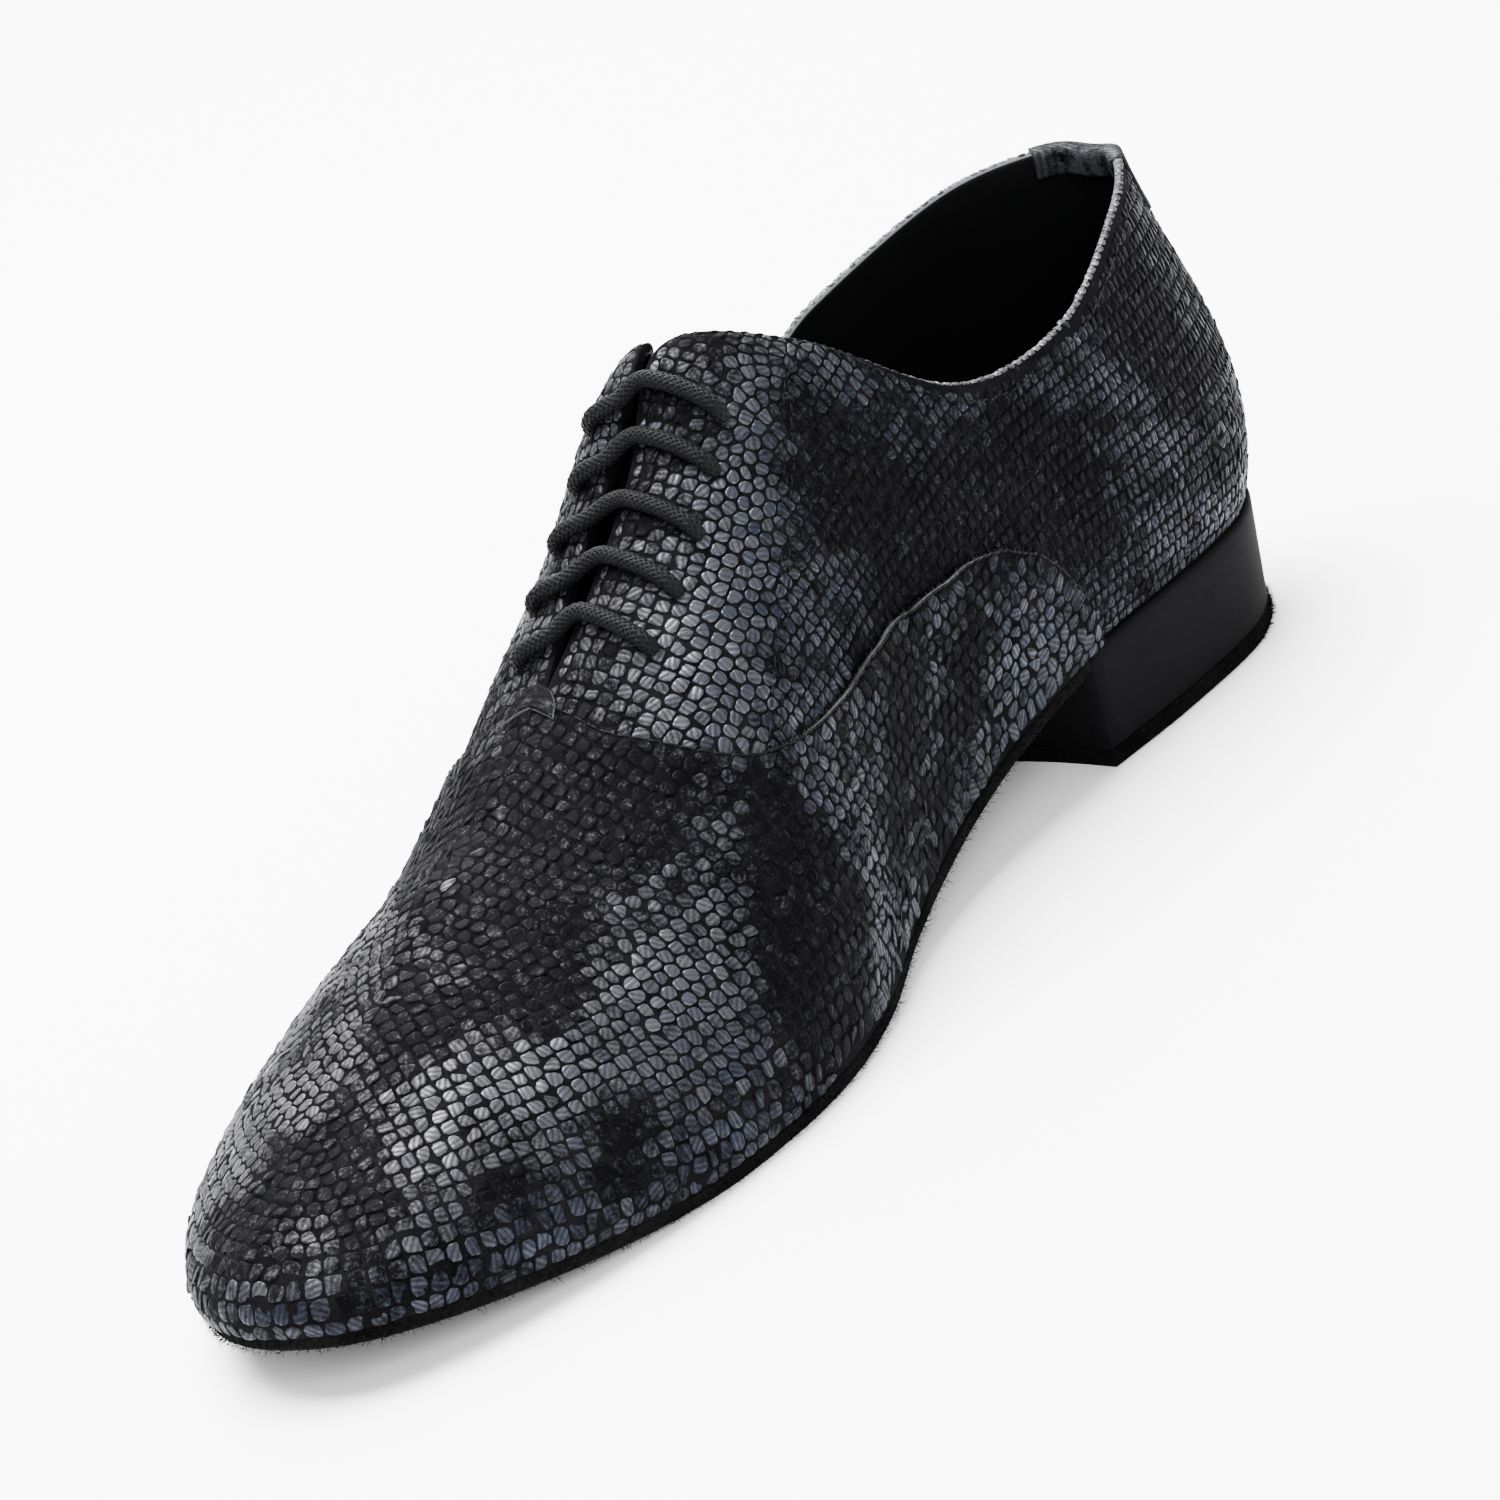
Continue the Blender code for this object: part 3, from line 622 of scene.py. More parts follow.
def add_upper():
    """The shell with its rolled top edge: suede outside, smooth lining inside."""
    places = np.arange(0, RING, 1 / 12)
    ups = np.concatenate([np.linspace(0.0, 0.94, 48), np.linspace(0.95, 1.0, 8)])
    outer = skin(places[:, None], ups[None, :])
    inner = skin(places[:, None], ups[None, ::-1], -WALL)
    normal = normal_at(places[:, None], np.array([[1.0]]))[:, 0]
    middle = (outer[:, -1] + inner[:, 0]) / 2
    rise = unit(outer[:, -1] - skin(places, np.full(len(places), 0.97)))
    station = station_of(places)
    laced = (station > LACED_SECTION - 0.1) & (station < THROAT_SECTION + 0.1)
    height = np.where(laced[:, None], 0.0001, WALL / 2)
    rim = [
        middle + normal * math.cos(angle) * WALL / 2 + rise * math.sin(angle) * height
        for angle in np.radians((30, 60, 90, 120, 150))
    ]
    columns = np.concatenate([outer, np.stack(rim, 1), inner], axis=1)
    rows = columns.shape[1]
    faces = grid_faces(rows, len(places), closed=True)
    first = np.array([face[0] for face in faces])
    row, open_edge = first % rows, station[first // rows] <= LACED_SECTION - 0.1
    edge = np.where(open_edge, EDGE_LOOK, OUTSIDE)
    looks = np.where(row < len(ups) + 1, OUTSIDE, np.where(row < len(ups) + 4, edge, INSIDE))
    return add_mesh("upper_skin", columns.reshape(-1, 3), faces, (NAP, PIPING, LINING), looks)


def vamp_columns():
    stations = np.concatenate([
        np.arange(SEAM[0][0], 8.3, 1 / 14),
        np.arange(8.3, 9.0, 0.025),
        np.arange(9.0, TIP_SECTION + 0.001, 1 / 14),
    ])
    near = np.unique(np.round(stations, 4))
    return np.concatenate([near, (RING - near[::-1])[1:]])


def add_vamp():
    """The front piece as a thin closed shell, with its cut edge along the seam."""
    places = vamp_columns()
    ends = seam_up(station_of(places))
    t = np.linspace(0.0, 1.0, 46)
    ups = VAMP_LOW + (np.maximum(ends, 0.012) - VAMP_LOW)[:, None] * t[None, :]
    outer = skin(places[:, None], ups, VAMP_GAP + VAMP_THICKNESS)
    inner = skin(places[:, None], ups[:, ::-1], VAMP_GAP)
    columns = np.concatenate([outer, inner], axis=1)
    rows = columns.shape[1]
    faces = grid_faces(rows, len(places))
    count = len(faces)
    for r in range(len(t) - 1):
        for c in (0, (len(places) - 1) * rows):
            faces.append([c + r, c + r + 1, c + rows - 2 - r, c + rows - 1 - r])
    row = np.array([face[0] % rows for face in faces])
    looks = np.where(row == len(t) - 1, EDGE_LOOK, np.where(row < len(t) - 1, OUTSIDE, INSIDE))
    looks[count:] = EDGE_LOOK
    return add_mesh("vamp_skin", columns.reshape(-1, 3), faces, (NAP, EDGE, LINING), looks)


def add_tab():
    """The vamp's small rounded tab over the foot of the lacing gap."""
    columns = []
    for across in np.linspace(-TAB_HALF_WIDTH, TAB_HALF_WIDTH, 17):
        reach = TAB_REACH * math.sqrt(max(1.0 - (across / TAB_HALF_WIDTH) ** 2, 0.0))
        weight = min(max(across / 0.0024 + 0.5, 0.0), 1.0)
        column = []
        for part in np.linspace(0.0, 1.0, 9):
            station = THROAT_SECTION + 0.08 - part * reach / 0.021
            near, far = (skin(p, share_down(p, abs(across)), TAB_LIFT) for p in (station, RING - station))
            column.append(near * weight + far * (1.0 - weight))
        columns.append(column)
    tab = add_mesh("throat_tab", np.array(columns).reshape(-1, 3), grid_faces(9, 17), (SCALES, EDGE))
    return thicken(tab, VAMP_THICKNESS, 1)


def add_back_strip():
    """A strip folded over the collar at the back."""
    half = 0.0
    while outside(np.array(half), np.array(1.0))[1] < BACK_STRIP_WIDTH / 2:
        half += 0.01
    down = np.linspace(1.0, 0.0, 9)
    sides = ((BACK_STRIP_DEPTH, STRIP_LIFT, down), (BACK_STRIP_INSIDE, -WALL - STRIP_LIFT, down[::-1]))
    columns = []
    for place in np.linspace(-half, half, 33):
        column = []
        for depth, off, parts in sides:
            for part in parts:
                up = share_down(place, depth * part)
                rise = np.array((0.0, 0.0, 0.0009 * math.exp(-part * 12)))
                column.append(outside(place, up) + SHIFT + normal_at(place, up) * off + rise)
        columns.append(column)
    strip = add_mesh("back_tab", np.array(columns).reshape(-1, 3), grid_faces(18, 33), (SCALES,))
    return thicken(strip, STRIP_THICKNESS)


# Scales: rows of seeds along the surface, a flat cell round each, and a raised plate in it

def row_seeds(distance, pitch, places, ups, lengths, low, high, offset):
    """Places and shares up along one row that keeps its distance from the foot line."""
    at = np.array([np.interp(distance, lengths[k], ups) for k in range(len(places))])
    inside = (at > low) & (at < high) & (lengths[:, -1] > distance)
    walked = walk(outside(places, at))
    marks = np.arange(offset * pitch, walked[-1], pitch)
    marks = marks + random.normal(0, 0.10 * pitch, len(marks))
    keep = np.interp(marks, walked, inside.astype(float)) > 0.99
    return np.stack([np.interp(marks, walked, places)[keep], np.interp(marks, walked, at)[keep]], 1)


def panel_seeds(places, low, high, row_pitch, pitch, from_top=False):
    """All seeds of a panel, in rows that keep their distance from the foot line or from the top.

    row_pitch and pitch are functions of that distance.
    """
    ups, lengths = rib_lengths(places)
    if from_top:
        ups, lengths = ups[::-1], lengths[:, -1:] - lengths[:, ::-1]
    distance = 0.4 * row_pitch(0.0)
    found = []
    while distance < lengths[:, -1].max():
        offset = 0.5 * (len(found) % 2)
        found.append(row_seeds(distance, pitch(distance), places, ups, lengths, low, high, offset))
        distance += row_pitch(distance) * random.uniform(0.92, 1.08)
    return np.concatenate(found)


def tree_of(points):
    tree = KDTree(len(points))
    for k, point in enumerate(points):
        tree.insert(point, k)
    tree.balance()
    return tree


def thin_out(points, least):
    """Which points to keep so that none lies closer than least to a kept one."""
    tree = tree_of(points)
    keep = np.ones(len(points), bool)
    for k, point in enumerate(points):
        if keep[k]:
            for _, other, distance in tree.find_range(point, least):
                if other > k:
                    keep[other] = False
    return keep


def clip(polygon, normal, limit):
    """The part of a convex polygon on the inner side of a line."""
    sides = polygon @ normal - limit
    out = []
    count = len(polygon)
    for k in range(count):
        a, b = sides[k], sides[(k + 1) % count]
        if a <= 0:
            out.append(polygon[k])
        if (a <= 0) != (b <= 0):
            out.append(polygon[k] + (polygon[(k + 1) % count] - polygon[k]) * a / (a - b))
    return np.array(out)


def cells(points, normals, reach, edges):
    """A convex cell round each point, in the plane that touches the surface there."""
    tree, edge_tree = tree_of(points), tree_of(edges)
    corners = np.radians(np.arange(8) * 45 + 22.5)
    octagon = reach * np.stack([np.cos(corners), np.sin(corners)], 1)
    made = []
    for point, normal in zip(points, normals):
        side = np.cross(normal, (0.0, 0.0, 1.0))
        if np.linalg.norm(side) < 0.1:
            side = np.cross(normal, (0.0, 1.0, 0.0))
        side = unit(side)
        up = np.cross(normal, side)
        near = [(p, d / 2 - GROOVE / 2) for p, _, d in tree.find_n(point, 13)[1:] if d <= 2.2 * reach]
        near += [(p, d - 0.0002) for p, _, d in edge_tree.find_n(point, 3) if d < 2 * reach]
        polygon = octagon
        for other, limit in near:
            way = np.array(other) - point
            flat = np.array((way @ side, way @ up))
            flat /= max(np.linalg.norm(flat), 1e-9)
            polygon = clip(polygon, flat, limit)
            if len(polygon) < 3:
                break
        made.append((polygon, side, up))
    return made


def area_of(polygon):
    ahead = np.roll(polygon, -1, axis=0)
    return 0.5 * abs(np.sum(polygon[:, 0] * ahead[:, 1] - polygon[:, 1] * ahead[:, 0]))


def rounded(polygon):
    ahead = np.roll(polygon, -1, axis=0)
    both = np.stack([polygon * 0.76 + ahead * 0.24, polygon * 0.24 + ahead * 0.76], 1)
    return both.reshape(-1, 2)


def foil_at(points, places, ups):
    """How much foil each scale has: from the panel's place, the blotches, and a little chance."""
    station = station_of(places)
    quarter = ups > seam_up(station)
    foil = np.where(quarter, QUARTER_FOIL, VAMP_FOIL)
    foil = np.where(quarter & (station > LACED_SECTION), FACING_FOIL, foil)
    # The rolled rim gets near-full foil: real foil, partly a painted highlight along the crown of the edge
    foil = np.where(ups > 0.995, RIM_FOIL_AND_HIGHLIGHT, foil)
    for place, up, along, over, lean, strength in BLOTCHES:
        centre, ahead = spot_on(place, up)
        normal = normal_at(place, up)
        away = points - centre
        c, s = math.cos(math.radians(lean)), math.sin(math.radians(lean))
        x, y, z = away @ ahead, away @ np.cross(ahead, normal), away @ normal
        shares = ((c * x + s * y) / along) ** 2 + ((c * y - s * x) / over) ** 2 + (z / 0.02) ** 2
        foil = foil + strength * np.exp(-shares)
    waves = np.zeros(len(points))
    for k in range(10):
        way = random.normal(size=3) * random.choice((150.0, 300.0, 520.0))
        waves += np.sin(points @ way + random.uniform(0, 6.28))
    foil = foil + 0.17 * waves / math.sqrt(5) + random.normal(0, 0.05, len(points))
    return np.clip(foil, 0.02, 1.0)


def add_scales(name, seeds, starts, surface, edges, reach):
    """A low plate round each seed, on the surface nearest to its start, in an inner and an outer half."""
    hits = [surface.find_nearest(point) for point in starts]
    points = np.array([hit[0] for hit in hits])
    normals = np.array([hit[1] for hit in hits])
    keep = thin_out(points, 0.62 * reach)
    points, normals, seeds = points[keep], normals[keep], seeds[keep]
    foil = foil_at(points, seeds[:, 0], seeds[:, 1])
    halves = {"inner": ([], [], [], [], []), "outer": ([], [], [], [], [])}
    for k, (polygon, side, up) in enumerate(cells(points, normals, reach, edges)):
        if len(polygon) < 3 or area_of(polygon) < LEAST_SCALE_AREA:
            continue
        all_points, faces, foils, painted_lights, lines = halves["inner" if points[k][1] > 0 else "outer"]
        centre = polygon.mean(0)
        ring = rounded(polygon)
        away = ring - centre
        size = np.linalg.norm(away, axis=1, keepdims=True)
        shoulder = centre + away * (1 - SCALE_BEVEL / size)
        crown = centre + away * np.maximum(1 - SCALE_SHOULDER / size, 0.3)
        base, count = len(all_points), len(ring)
        turn = random.uniform(0, math.pi)
        c, s = math.cos(turn), math.sin(turn)
        # Painted light: the more a scale faces up, the lighter and more neutral its colour, plus a little
        # random tone
        painted_light = min(max(1.1 * normals[k][2] ** 2 + random.normal(0.06, 0.10), 0.0), 1.0)
        tilt = random.normal(0, SCALE_TILT, 2)
        for flat, height in ((ring, -0.10), (shoulder, 0.72), (crown, 1.0)):
            for x, y in flat:
                spot, facing = surface.find_nearest(points[k] + side * x + up * y)[:2]
                high = SCALE_HEIGHT * height + (tilt[0] * x + tilt[1] * y if height > 0 else 0.0)
                all_points.append(spot + facing * high)
                foils.append(foil[k] if height > 0 else 0.0)
                painted_lights.append(painted_light)
                lines.append(((c * x - s * y) * 1e3 + 37 * painted_light, (s * x + c * y) * 1e3, 5.0 * painted_light))
        faces += bands(base, 2, count)
        faces.append([base + 2 * count + j for j in range(count)])
    for half, (all_points, faces, foils, painted_lights, lines) in halves.items():
        obj = add_mesh(f"{name}_{half}", np.array(all_points), faces, (SCALES,))
        add_print(obj.data, foils, painted_lights, lines)
        finish_piece(obj)


def surface_of(obj, looks):
    """A search tree of a piece's faces that have one of these looks."""
    faces = [list(face.vertices) for face in obj.data.polygons if face.material_index in looks]
    return BVHTree.FromPolygons([v.co.copy() for v in obj.data.vertices], faces)


# Stitches, fibres and cords

def capsule(points, faces, start, end, normal):
    """A short rounded stitch from start to end, which dips at both ends."""
    radius = STITCH_THICKNESS / 2
    length = np.linalg.norm(end - start)
    way = (end - start) / length
    side = unit(np.cross(normal, way))
    over = np.cross(way, side)
    steps = ((0.0, 0.25), (0.14, 0.85), (0.5, 1.0), (0.86, 0.85), (1.0, 0.25))
    faces += bands(len(points), len(steps) - 1, 6) + end_caps(len(points), len(steps) - 1, 6)
    for part, size in steps:
        sag = -radius * 1.3 * (2 * part - 1) ** 2
        for k in range(6):
            a = math.pi * k / 3
            high = sag + radius * 0.7 * size * math.sin(a)
            points.append(start + way * length * part + over * high + side * radius * size * math.cos(a))


def on_surface(surface, points, lift):
    hits = [surface.find_nearest(point) for point in points]
    return [np.array(hit[0]) + np.array(hit[1]) * lift for hit in hits]


def stitch_row(points, faces, places, ups, surface):
    """Slightly slanted stitches along a line, laid on the surface."""
    spots = skin(*curve_points(places, ups, STITCH_PITCH))
    for a, b in zip(spots, spots[1:]):
        distance = np.linalg.norm(b - a)
        if distance > 1.6 * STITCH_PITCH or distance < 1e-5:
            continue
        way = (b - a) / distance
        hit, facing = (np.array(found) for found in surface.find_nearest((a + b) / 2)[:2])
        slant = np.cross(facing, way) * random.normal(0.08, 0.04)
        half = (way + slant) * STITCH_LENGTH / 2 * random.uniform(0.92, 1.05)
        ends = on_surface(surface, (hit - half, hit + half), 0.00010 + SCALE_HEIGHT)
        capsule(points, faces, *ends, facing)


def seam_stitches(points, faces, side, setback, surface):
    """One row beside the seam, on the near side (1) or the far one (-1)."""
    stations = np.linspace(SEAM[0][0] + 0.05, SEAM[-1][0], 500)
    ups = seam_up(stations)
    places = stations if side > 0 else RING - stations
    line = outside(places, ups)
    ahead = unit(np.gradient(line, axis=0))
    inward = np.cross(ahead, normal_at(places, np.clip(ups, 0.01, 0.99))) * side
    target = line + inward * setback + SHIFT
    walked = walk(target)
    spots = spread(np.arange(0.001, walked[-1], STITCH_PITCH), walked, target)
    for a, b in zip(spots, spots[1:]):
        half = unit(b - a) * STITCH_LENGTH / 2
        middle = (a + b) / 2
        ends = on_surface(surface, (middle - half, middle + half), 0.00012)
        facing = np.array(surface.find_nearest(middle + half)[1])
        if np.linalg.norm(ends[0] - ends[1]) > 0.0006:
            capsule(points, faces, *ends, facing)


def add_stitches(upper_surface, vamp_surface):
    points, faces = [], []
    for side in (1, -1):
        for setback in SEAM_ROWS:
            seam_stitches(points, faces, side, setback, vamp_surface)
    stations = np.linspace(5.3, 8.2, 200)
    for places in (stations, RING - stations):
        for setback in FACING_ROWS:
            at = read_line(stations, FACING_STITCH) - share_of(places, setback)
            keep = at > seam_up(stations) + 0.01
            stitch_row(points, faces, places[keep], at[keep], upper_surface)
    places = np.linspace(-LACED_SECTION + 0.1, LACED_SECTION - 0.1, 600)
    stitch_row(points, faces, np.mod(places, RING), 1.0 - share_of(places, TOP_STITCH), upper_surface)
    return add_mesh("stitches", np.array(points), faces, (THREAD,))


def hair(points, faces, root, way, length, thickness, bend):
    """A thin curved fibre of three short sides."""
    way = unit(way)
    side = unit(np.cross(way, (0.3, 0.5, 0.8)))
    over = np.cross(way, side)
    faces += bands(len(points), 2, 3)
    for part in (0.0, 0.5, 1.0):
        centre = root + way * length * part + bend * length * part**2
        size = thickness / 2 * (1.0 - 0.75 * part)
        for k in range(3):
            a = 2 * math.pi * k / 3
            points.append(centre + (side * math.cos(a) + over * math.sin(a)) * size)


def add_edge_fibres(line):
    """Short pale fibres along the raw edge of the vamp."""
    points, faces = [], []
    places, ups = curve_points(line, seam_up(line), 0.00016)
    for turned in (places, RING - places):
        spots = skin(turned, ups, 0.0003 + 0.0012 * random.random(len(turned)))
        rises = skin(turned, np.minimum(ups + 0.01, 1.0)) - skin(turned, np.maximum(ups - 0.01, 0.0))
        for spot, rise, normal in zip(spots, rises, normal_at(turned, np.clip(ups, 0.01, 0.99))):
            way = rise / max(np.linalg.norm(rise), 1e-9) + normal * random.normal(0.35, 0.3)
            way = way + random.normal(0, 0.45, 3)
            length = random.uniform(0.0003, 0.0008)
            hair(points, faces, spot, way, length, 0.00008, random.normal(0, 0.3, 3))
    return add_mesh("edge_fibres", np.array(points), faces, (EDGE,))


def add_suede_fibres():
    """Fibres along the outsole's edge and the top piece's edge."""
    points, faces = [], []
    places = np.linspace(place_at(HEEL_LENGTH, True), place_at(HEEL_LENGTH, False), 4200)
    for root, way in zip(*foot(places, SOLE_EDGE)):
        root = root + SHIFT + np.array((0, 0, -CLEARANCE - random.uniform(0.0002, OUTSOLE_THICKNESS)))
        direction = np.array((way[0], way[1], 0.0)) + random.normal(0, 0.55, 3)
        root[2] = max(root[2], 0.0003)
        bend = random.normal(0, 0.35, 3)
        length = random.uniform(0.0004, 0.0013) * (2.2 if random.random() < 0.03 else 1.0)
        if root[2] + (direction[2] / np.linalg.norm(direction) + bend[2]) * length > 0.0001:
            hair(points, faces, root, direction, length, FIBRE_THICKNESS, bend)
    places = np.linspace(place_at(HEEL_LENGTH, False) - RING, place_at(HEEL_LENGTH, True), 2600)
    for root, way in zip(*foot(places, SOLE_EDGE - HEEL_TAPER)):
        root = root + np.array((HEEL_TAPER * (1.0 - root[0] / HEEL_LENGTH), 0, 0)) + SHIFT
        root[2] = random.uniform(0.0004, TOP_PIECE_THICKNESS)
        direction = np.array((way[0], way[1], 0.0)) + random.normal(0, 0.5, 3)
        length = random.uniform(0.0004, 0.0012)
        direction[2] = abs(direction[2]) * 0.4
        bend = random.normal(0, 0.15, 3) * (1, 1, 0)
        hair(points, faces, root, direction, length, FIBRE_THICKNESS, bend)
    return add_mesh("suede_fibres", np.array(points), faces, (SOLE_SUEDE,))


def bend_frames(route):
    """Two directions across a route at each of its points, which turn as little as possible."""
    way = unit(np.gradient(route, axis=0))
    sides = [unit(np.cross(way[0], (0.0, 0.0, 1.0)))]
    for k in range(1, len(route)):
        sides.append(unit(sides[-1] - way[k] * (sides[-1] @ way[k])))
    sides = np.array(sides)
    return sides, np.cross(way, sides)


def tube(points, faces, route, radius, sides):
    across, over = bend_frames(route)
    levels = len(route) - 1
    faces += bands(len(points), levels, sides) + end_caps(len(points), levels, sides)
    for k in range(len(route)):
        for j in range(sides):
            a = 2 * math.pi * j / sides
            points.append(route[k] + (across[k] * math.cos(a) + over[k] * math.sin(a)) * radius)


def even_route(points, step):
    """A smoothed route through some points, at even steps."""
    points = np.array(points)
    for _ in range(3):
        between = np.empty((2 * len(points) - 2, 3))
        between[0::2] = points[:-1] * 0.75 + points[1:] * 0.25
        between[1::2] = points[:-1] * 0.25 + points[1:] * 0.75
        points = np.concatenate([points[:1], between, points[-1:]])
    walked = walk(points)
    return spread(np.linspace(0.0, walked[-1], max(int(walked[-1] / step), 4)), walked, points)


def braid(points, faces, route, radius):
    """A round braid: strands that wind both ways and pass over and under each other."""
    across, over = bend_frames(route)
    turned = 2 * math.pi * walk(route) / BRAID_PITCH
    tube(points, faces, route, radius * 0.88, 8)
    thread = radius * 0.17
    half = BRAID_STRANDS // 2
    for hand, start, under in ((1, 0.0, 0.0), (-1, math.pi / half, math.pi)):
        for k in range(half):
            angle = hand * turned + 2 * math.pi * k / half + start
            size = radius - thread + np.sin(half * turned + under) * 0.05 * radius
            ring = across * np.cos(angle)[:, None] + over * np.sin(angle)[:, None]
            tube(points, faces, route + ring * size[:, None], thread, 4)


def lace_bar(bar):
    """A bar's route: out of the near eyelet, over the gap and into the far one."""
    over = LACE_DIAMETER / 2 + 1.5 * CLEARANCE
    out_of_eyelet = ((0.0, -0.0022), (0.0, 0.0), (0.0002, 0.0008), (0.0010, 0.0015), (0.0026, over))
    route = []
    for near, setback in ((True, EYELET_SETBACK), (False, FAR_EYELET_SETBACK)):
        place = bar[0] if near else RING - bar[1]
        half = [(setback - back, off) for back, off in out_of_eyelet]
        half += [(setback * part, over) for part in (0.55, 0.28, 0.03)]
        points = [skin(place, share_down(place, distance), off) for distance, off in half]
        route += points if near else points[::-1]
    return route


def add_lace():
    points, faces = [], []
    for bar in BARS:
        braid(points, faces, even_route(lace_bar(bar), 0.00055), LACE_DIAMETER / 2 * 1.03)
    return add_mesh("lace_braid", np.array(points), faces, (CORD,))


def add_tongue():
    stations = np.linspace(LACED_SECTION + 0.15, THROAT_SECTION + 0.9, 40)
    under_lace = WALL + LACE_DIAMETER + 4 * CLEARANCE
    under_wall = WALL + CLEARANCE
    columns = []
    for station in stations:
        part = (station - stations[0]) / (stations[-1] - stations[0])
        half = 0.5 * (TONGUE_TOP_WIDTH * (1 - part) + TONGUE_TOE_WIDTH * part)
        depth = under_lace + (under_wall - under_lace) * smooth((station - BARS[-1][1] - 0.2) / 0.7)
        ribs = []
        for place in (station, RING - station):
            ups = np.array([share_down(place, half * k / 8) for k in range(9)])
            ribs.append(skin(np.full(9, place), ups, -depth))
        columns.append(np.concatenate([ribs[0][::-1], ribs[1]]))
    faces = grid_faces(18, len(columns))
    return thicken(add_mesh("tongue_sheet", np.concatenate(columns), faces, (NAP,)), TONGUE_THICKNESS)


# The pieces under the foot

def place_at(x, near):
    """The place on one side where the bottom line reaches this x, in the rear half of the shoe."""
    stations = np.linspace(0.0, 8.0, 401)
    places = stations if near else RING - stations
    return float(np.interp(x, foot(places)[0][:, 0], places))


def sole_piece(name, start_x, margin, profile, look):
    """A sheet that follows the bottom line. The profile is its edge's insets and heights, top first."""
    near_start, far_start = place_at(start_x, True), RING - place_at(start_x, False)
    half = 160
    parts = np.linspace(0.0, 1.0, half)
    near = near_start + (TIP_SECTION - near_start) * parts
    far = RING - (far_start + (TIP_SECTION - far_start) * parts)
    around = np.concatenate([near, far[::-1][1:]])
    loops = []
    for inset, height in profile:
        loop = foot(around, margin - inset)[0] + SHIFT
        loop[:, 2] = bottom_height(loop[:, 0] - SHIFT[0]) + height
        loops.append(loop)
    count, levels = len(around), len(loops) - 1
    faces = bands(0, levels, count)
    for level in (0, levels):
        for k in range(half - 1):
            a, b = level * count + k, level * count + k + 1
            c, d = level * count + count - 2 - k, level * count + count - 1 - k
            face = [a, b, c, d] if b != c else [a, b, d]
            faces.append(face[::-1] if level else face)
    return mend(add_mesh(name, np.concatenate(loops), faces, (look,)), merge=False, outward=True)


def heel_loop(margin, height, hollow, forward=0.0):
    """A loop round the heel with a hollow front. Without a height it lies under the upper."""
    places = np.linspace(place_at(HEEL_LENGTH, False) - RING, place_at(HEEL_LENGTH, True), 61)
    loop = list(foot(places, margin)[0])
    left, right = loop[-1].copy(), loop[0].copy()
    for k in range(1, 12):
        point = left + (right - left) * k / 12
        point[0] -= hollow * math.sin(math.pi * k / 12)
        loop.append(point)
    loop = np.array(loop)
    loop[:, 0] += forward * (1.0 - loop[:, 0] / HEEL_LENGTH)
    loop[:, 2] = bottom_height(loop[:, 0]) - CLEARANCE if height is None else height
    return loop


def stacked(name, loops, look):
    count, levels = len(loops[0]), len(loops) - 1
    faces = bands(0, levels, count) + end_caps(0, levels, count)
    return mend(add_mesh(name, np.concatenate(loops) + SHIFT, faces, (look,)), merge=False, outward=True)


def add_heel():
    low = TOP_PIECE_THICKNESS + 0.0001
    seat = heel_loop(SOLE_EDGE, None, 0.0)
    loops = []
    for share in (1.0, 0.985, 0.8, 0.6, 0.4, 0.2, 0.06, 0.0):
        soft = 0.0004 if share in (1.0, 0.0) else 0.0
        hollow = BREAST_HOLLOW * min(1.0, max(0.0, (share - 0.15) / 0.15))
        loop = heel_loop(SOLE_EDGE - HEEL_TAPER * share - soft, None, hollow, HEEL_TAPER * share)
        loop[:, 2] = low + (seat[:, 2] - low) * (1.0 - share)
        loops.append(loop)
    return stacked("heel_block", loops, HEEL_COVER)


def add_top_piece():
    edge = SOLE_EDGE - HEEL_TAPER
    top = TOP_PIECE_THICKNESS
    profile = ((0.0004, 0.0), (0.0, 0.0004), (0.0, top - 0.0003), (0.0003, top))
    loops = [heel_loop(edge - inset, height, BREAST_HOLLOW, HEEL_TAPER) for inset, height in profile]
    return stacked("heel_top_piece", loops, SOLE_SUEDE)


# Build everything

upper = mend(add_upper(), merge=True, outward=False)
finish_piece(upper, "upper")
vamp = mend(add_vamp(), merge=True, outward=True)
finish_piece(vamp, "vamp")
upper_surface = surface_of(upper, (OUTSIDE, EDGE_LOOK))
vamp_surface = surface_of(vamp, (OUTSIDE,))

# The lines where scales end: the seam on both sides, and the foot line
seam_stations = np.linspace(SEAM[0][0], SEAM[-1][0], 900)
seam_places, seam_shares = curve_points(seam_stations, seam_up(seam_stations), 0.0006)
foot_places = np.linspace(0, RING, 1500)[:-1]


def panel_edges(lift, foot_share):
    lines = [skin(places, seam_shares, lift) for places in (seam_places, RING - seam_places)]
    return np.concatenate([*lines, skin(foot_places, np.full(len(foot_places), foot_share), lift)])


# The vamp's scales
around = np.linspace(SEAM[0][0] + 0.02, RING - SEAM[0][0] - 0.02, 1400)
seeds = panel_seeds(
    around, 0.02, seam_up(station_of(around)) - 0.004,
    lambda d: 0.0029 if d < 0.012 else 0.0026,
    lambda d: 0.0031 if d < 0.012 else 0.0028,
)
starts = skin(seeds[:, 0], seeds[:, 1], VAMP_LIFT)
add_scales("vamp_scales", seeds, starts, vamp_surface, panel_edges(VAMP_LIFT, 0.006), 0.0025)

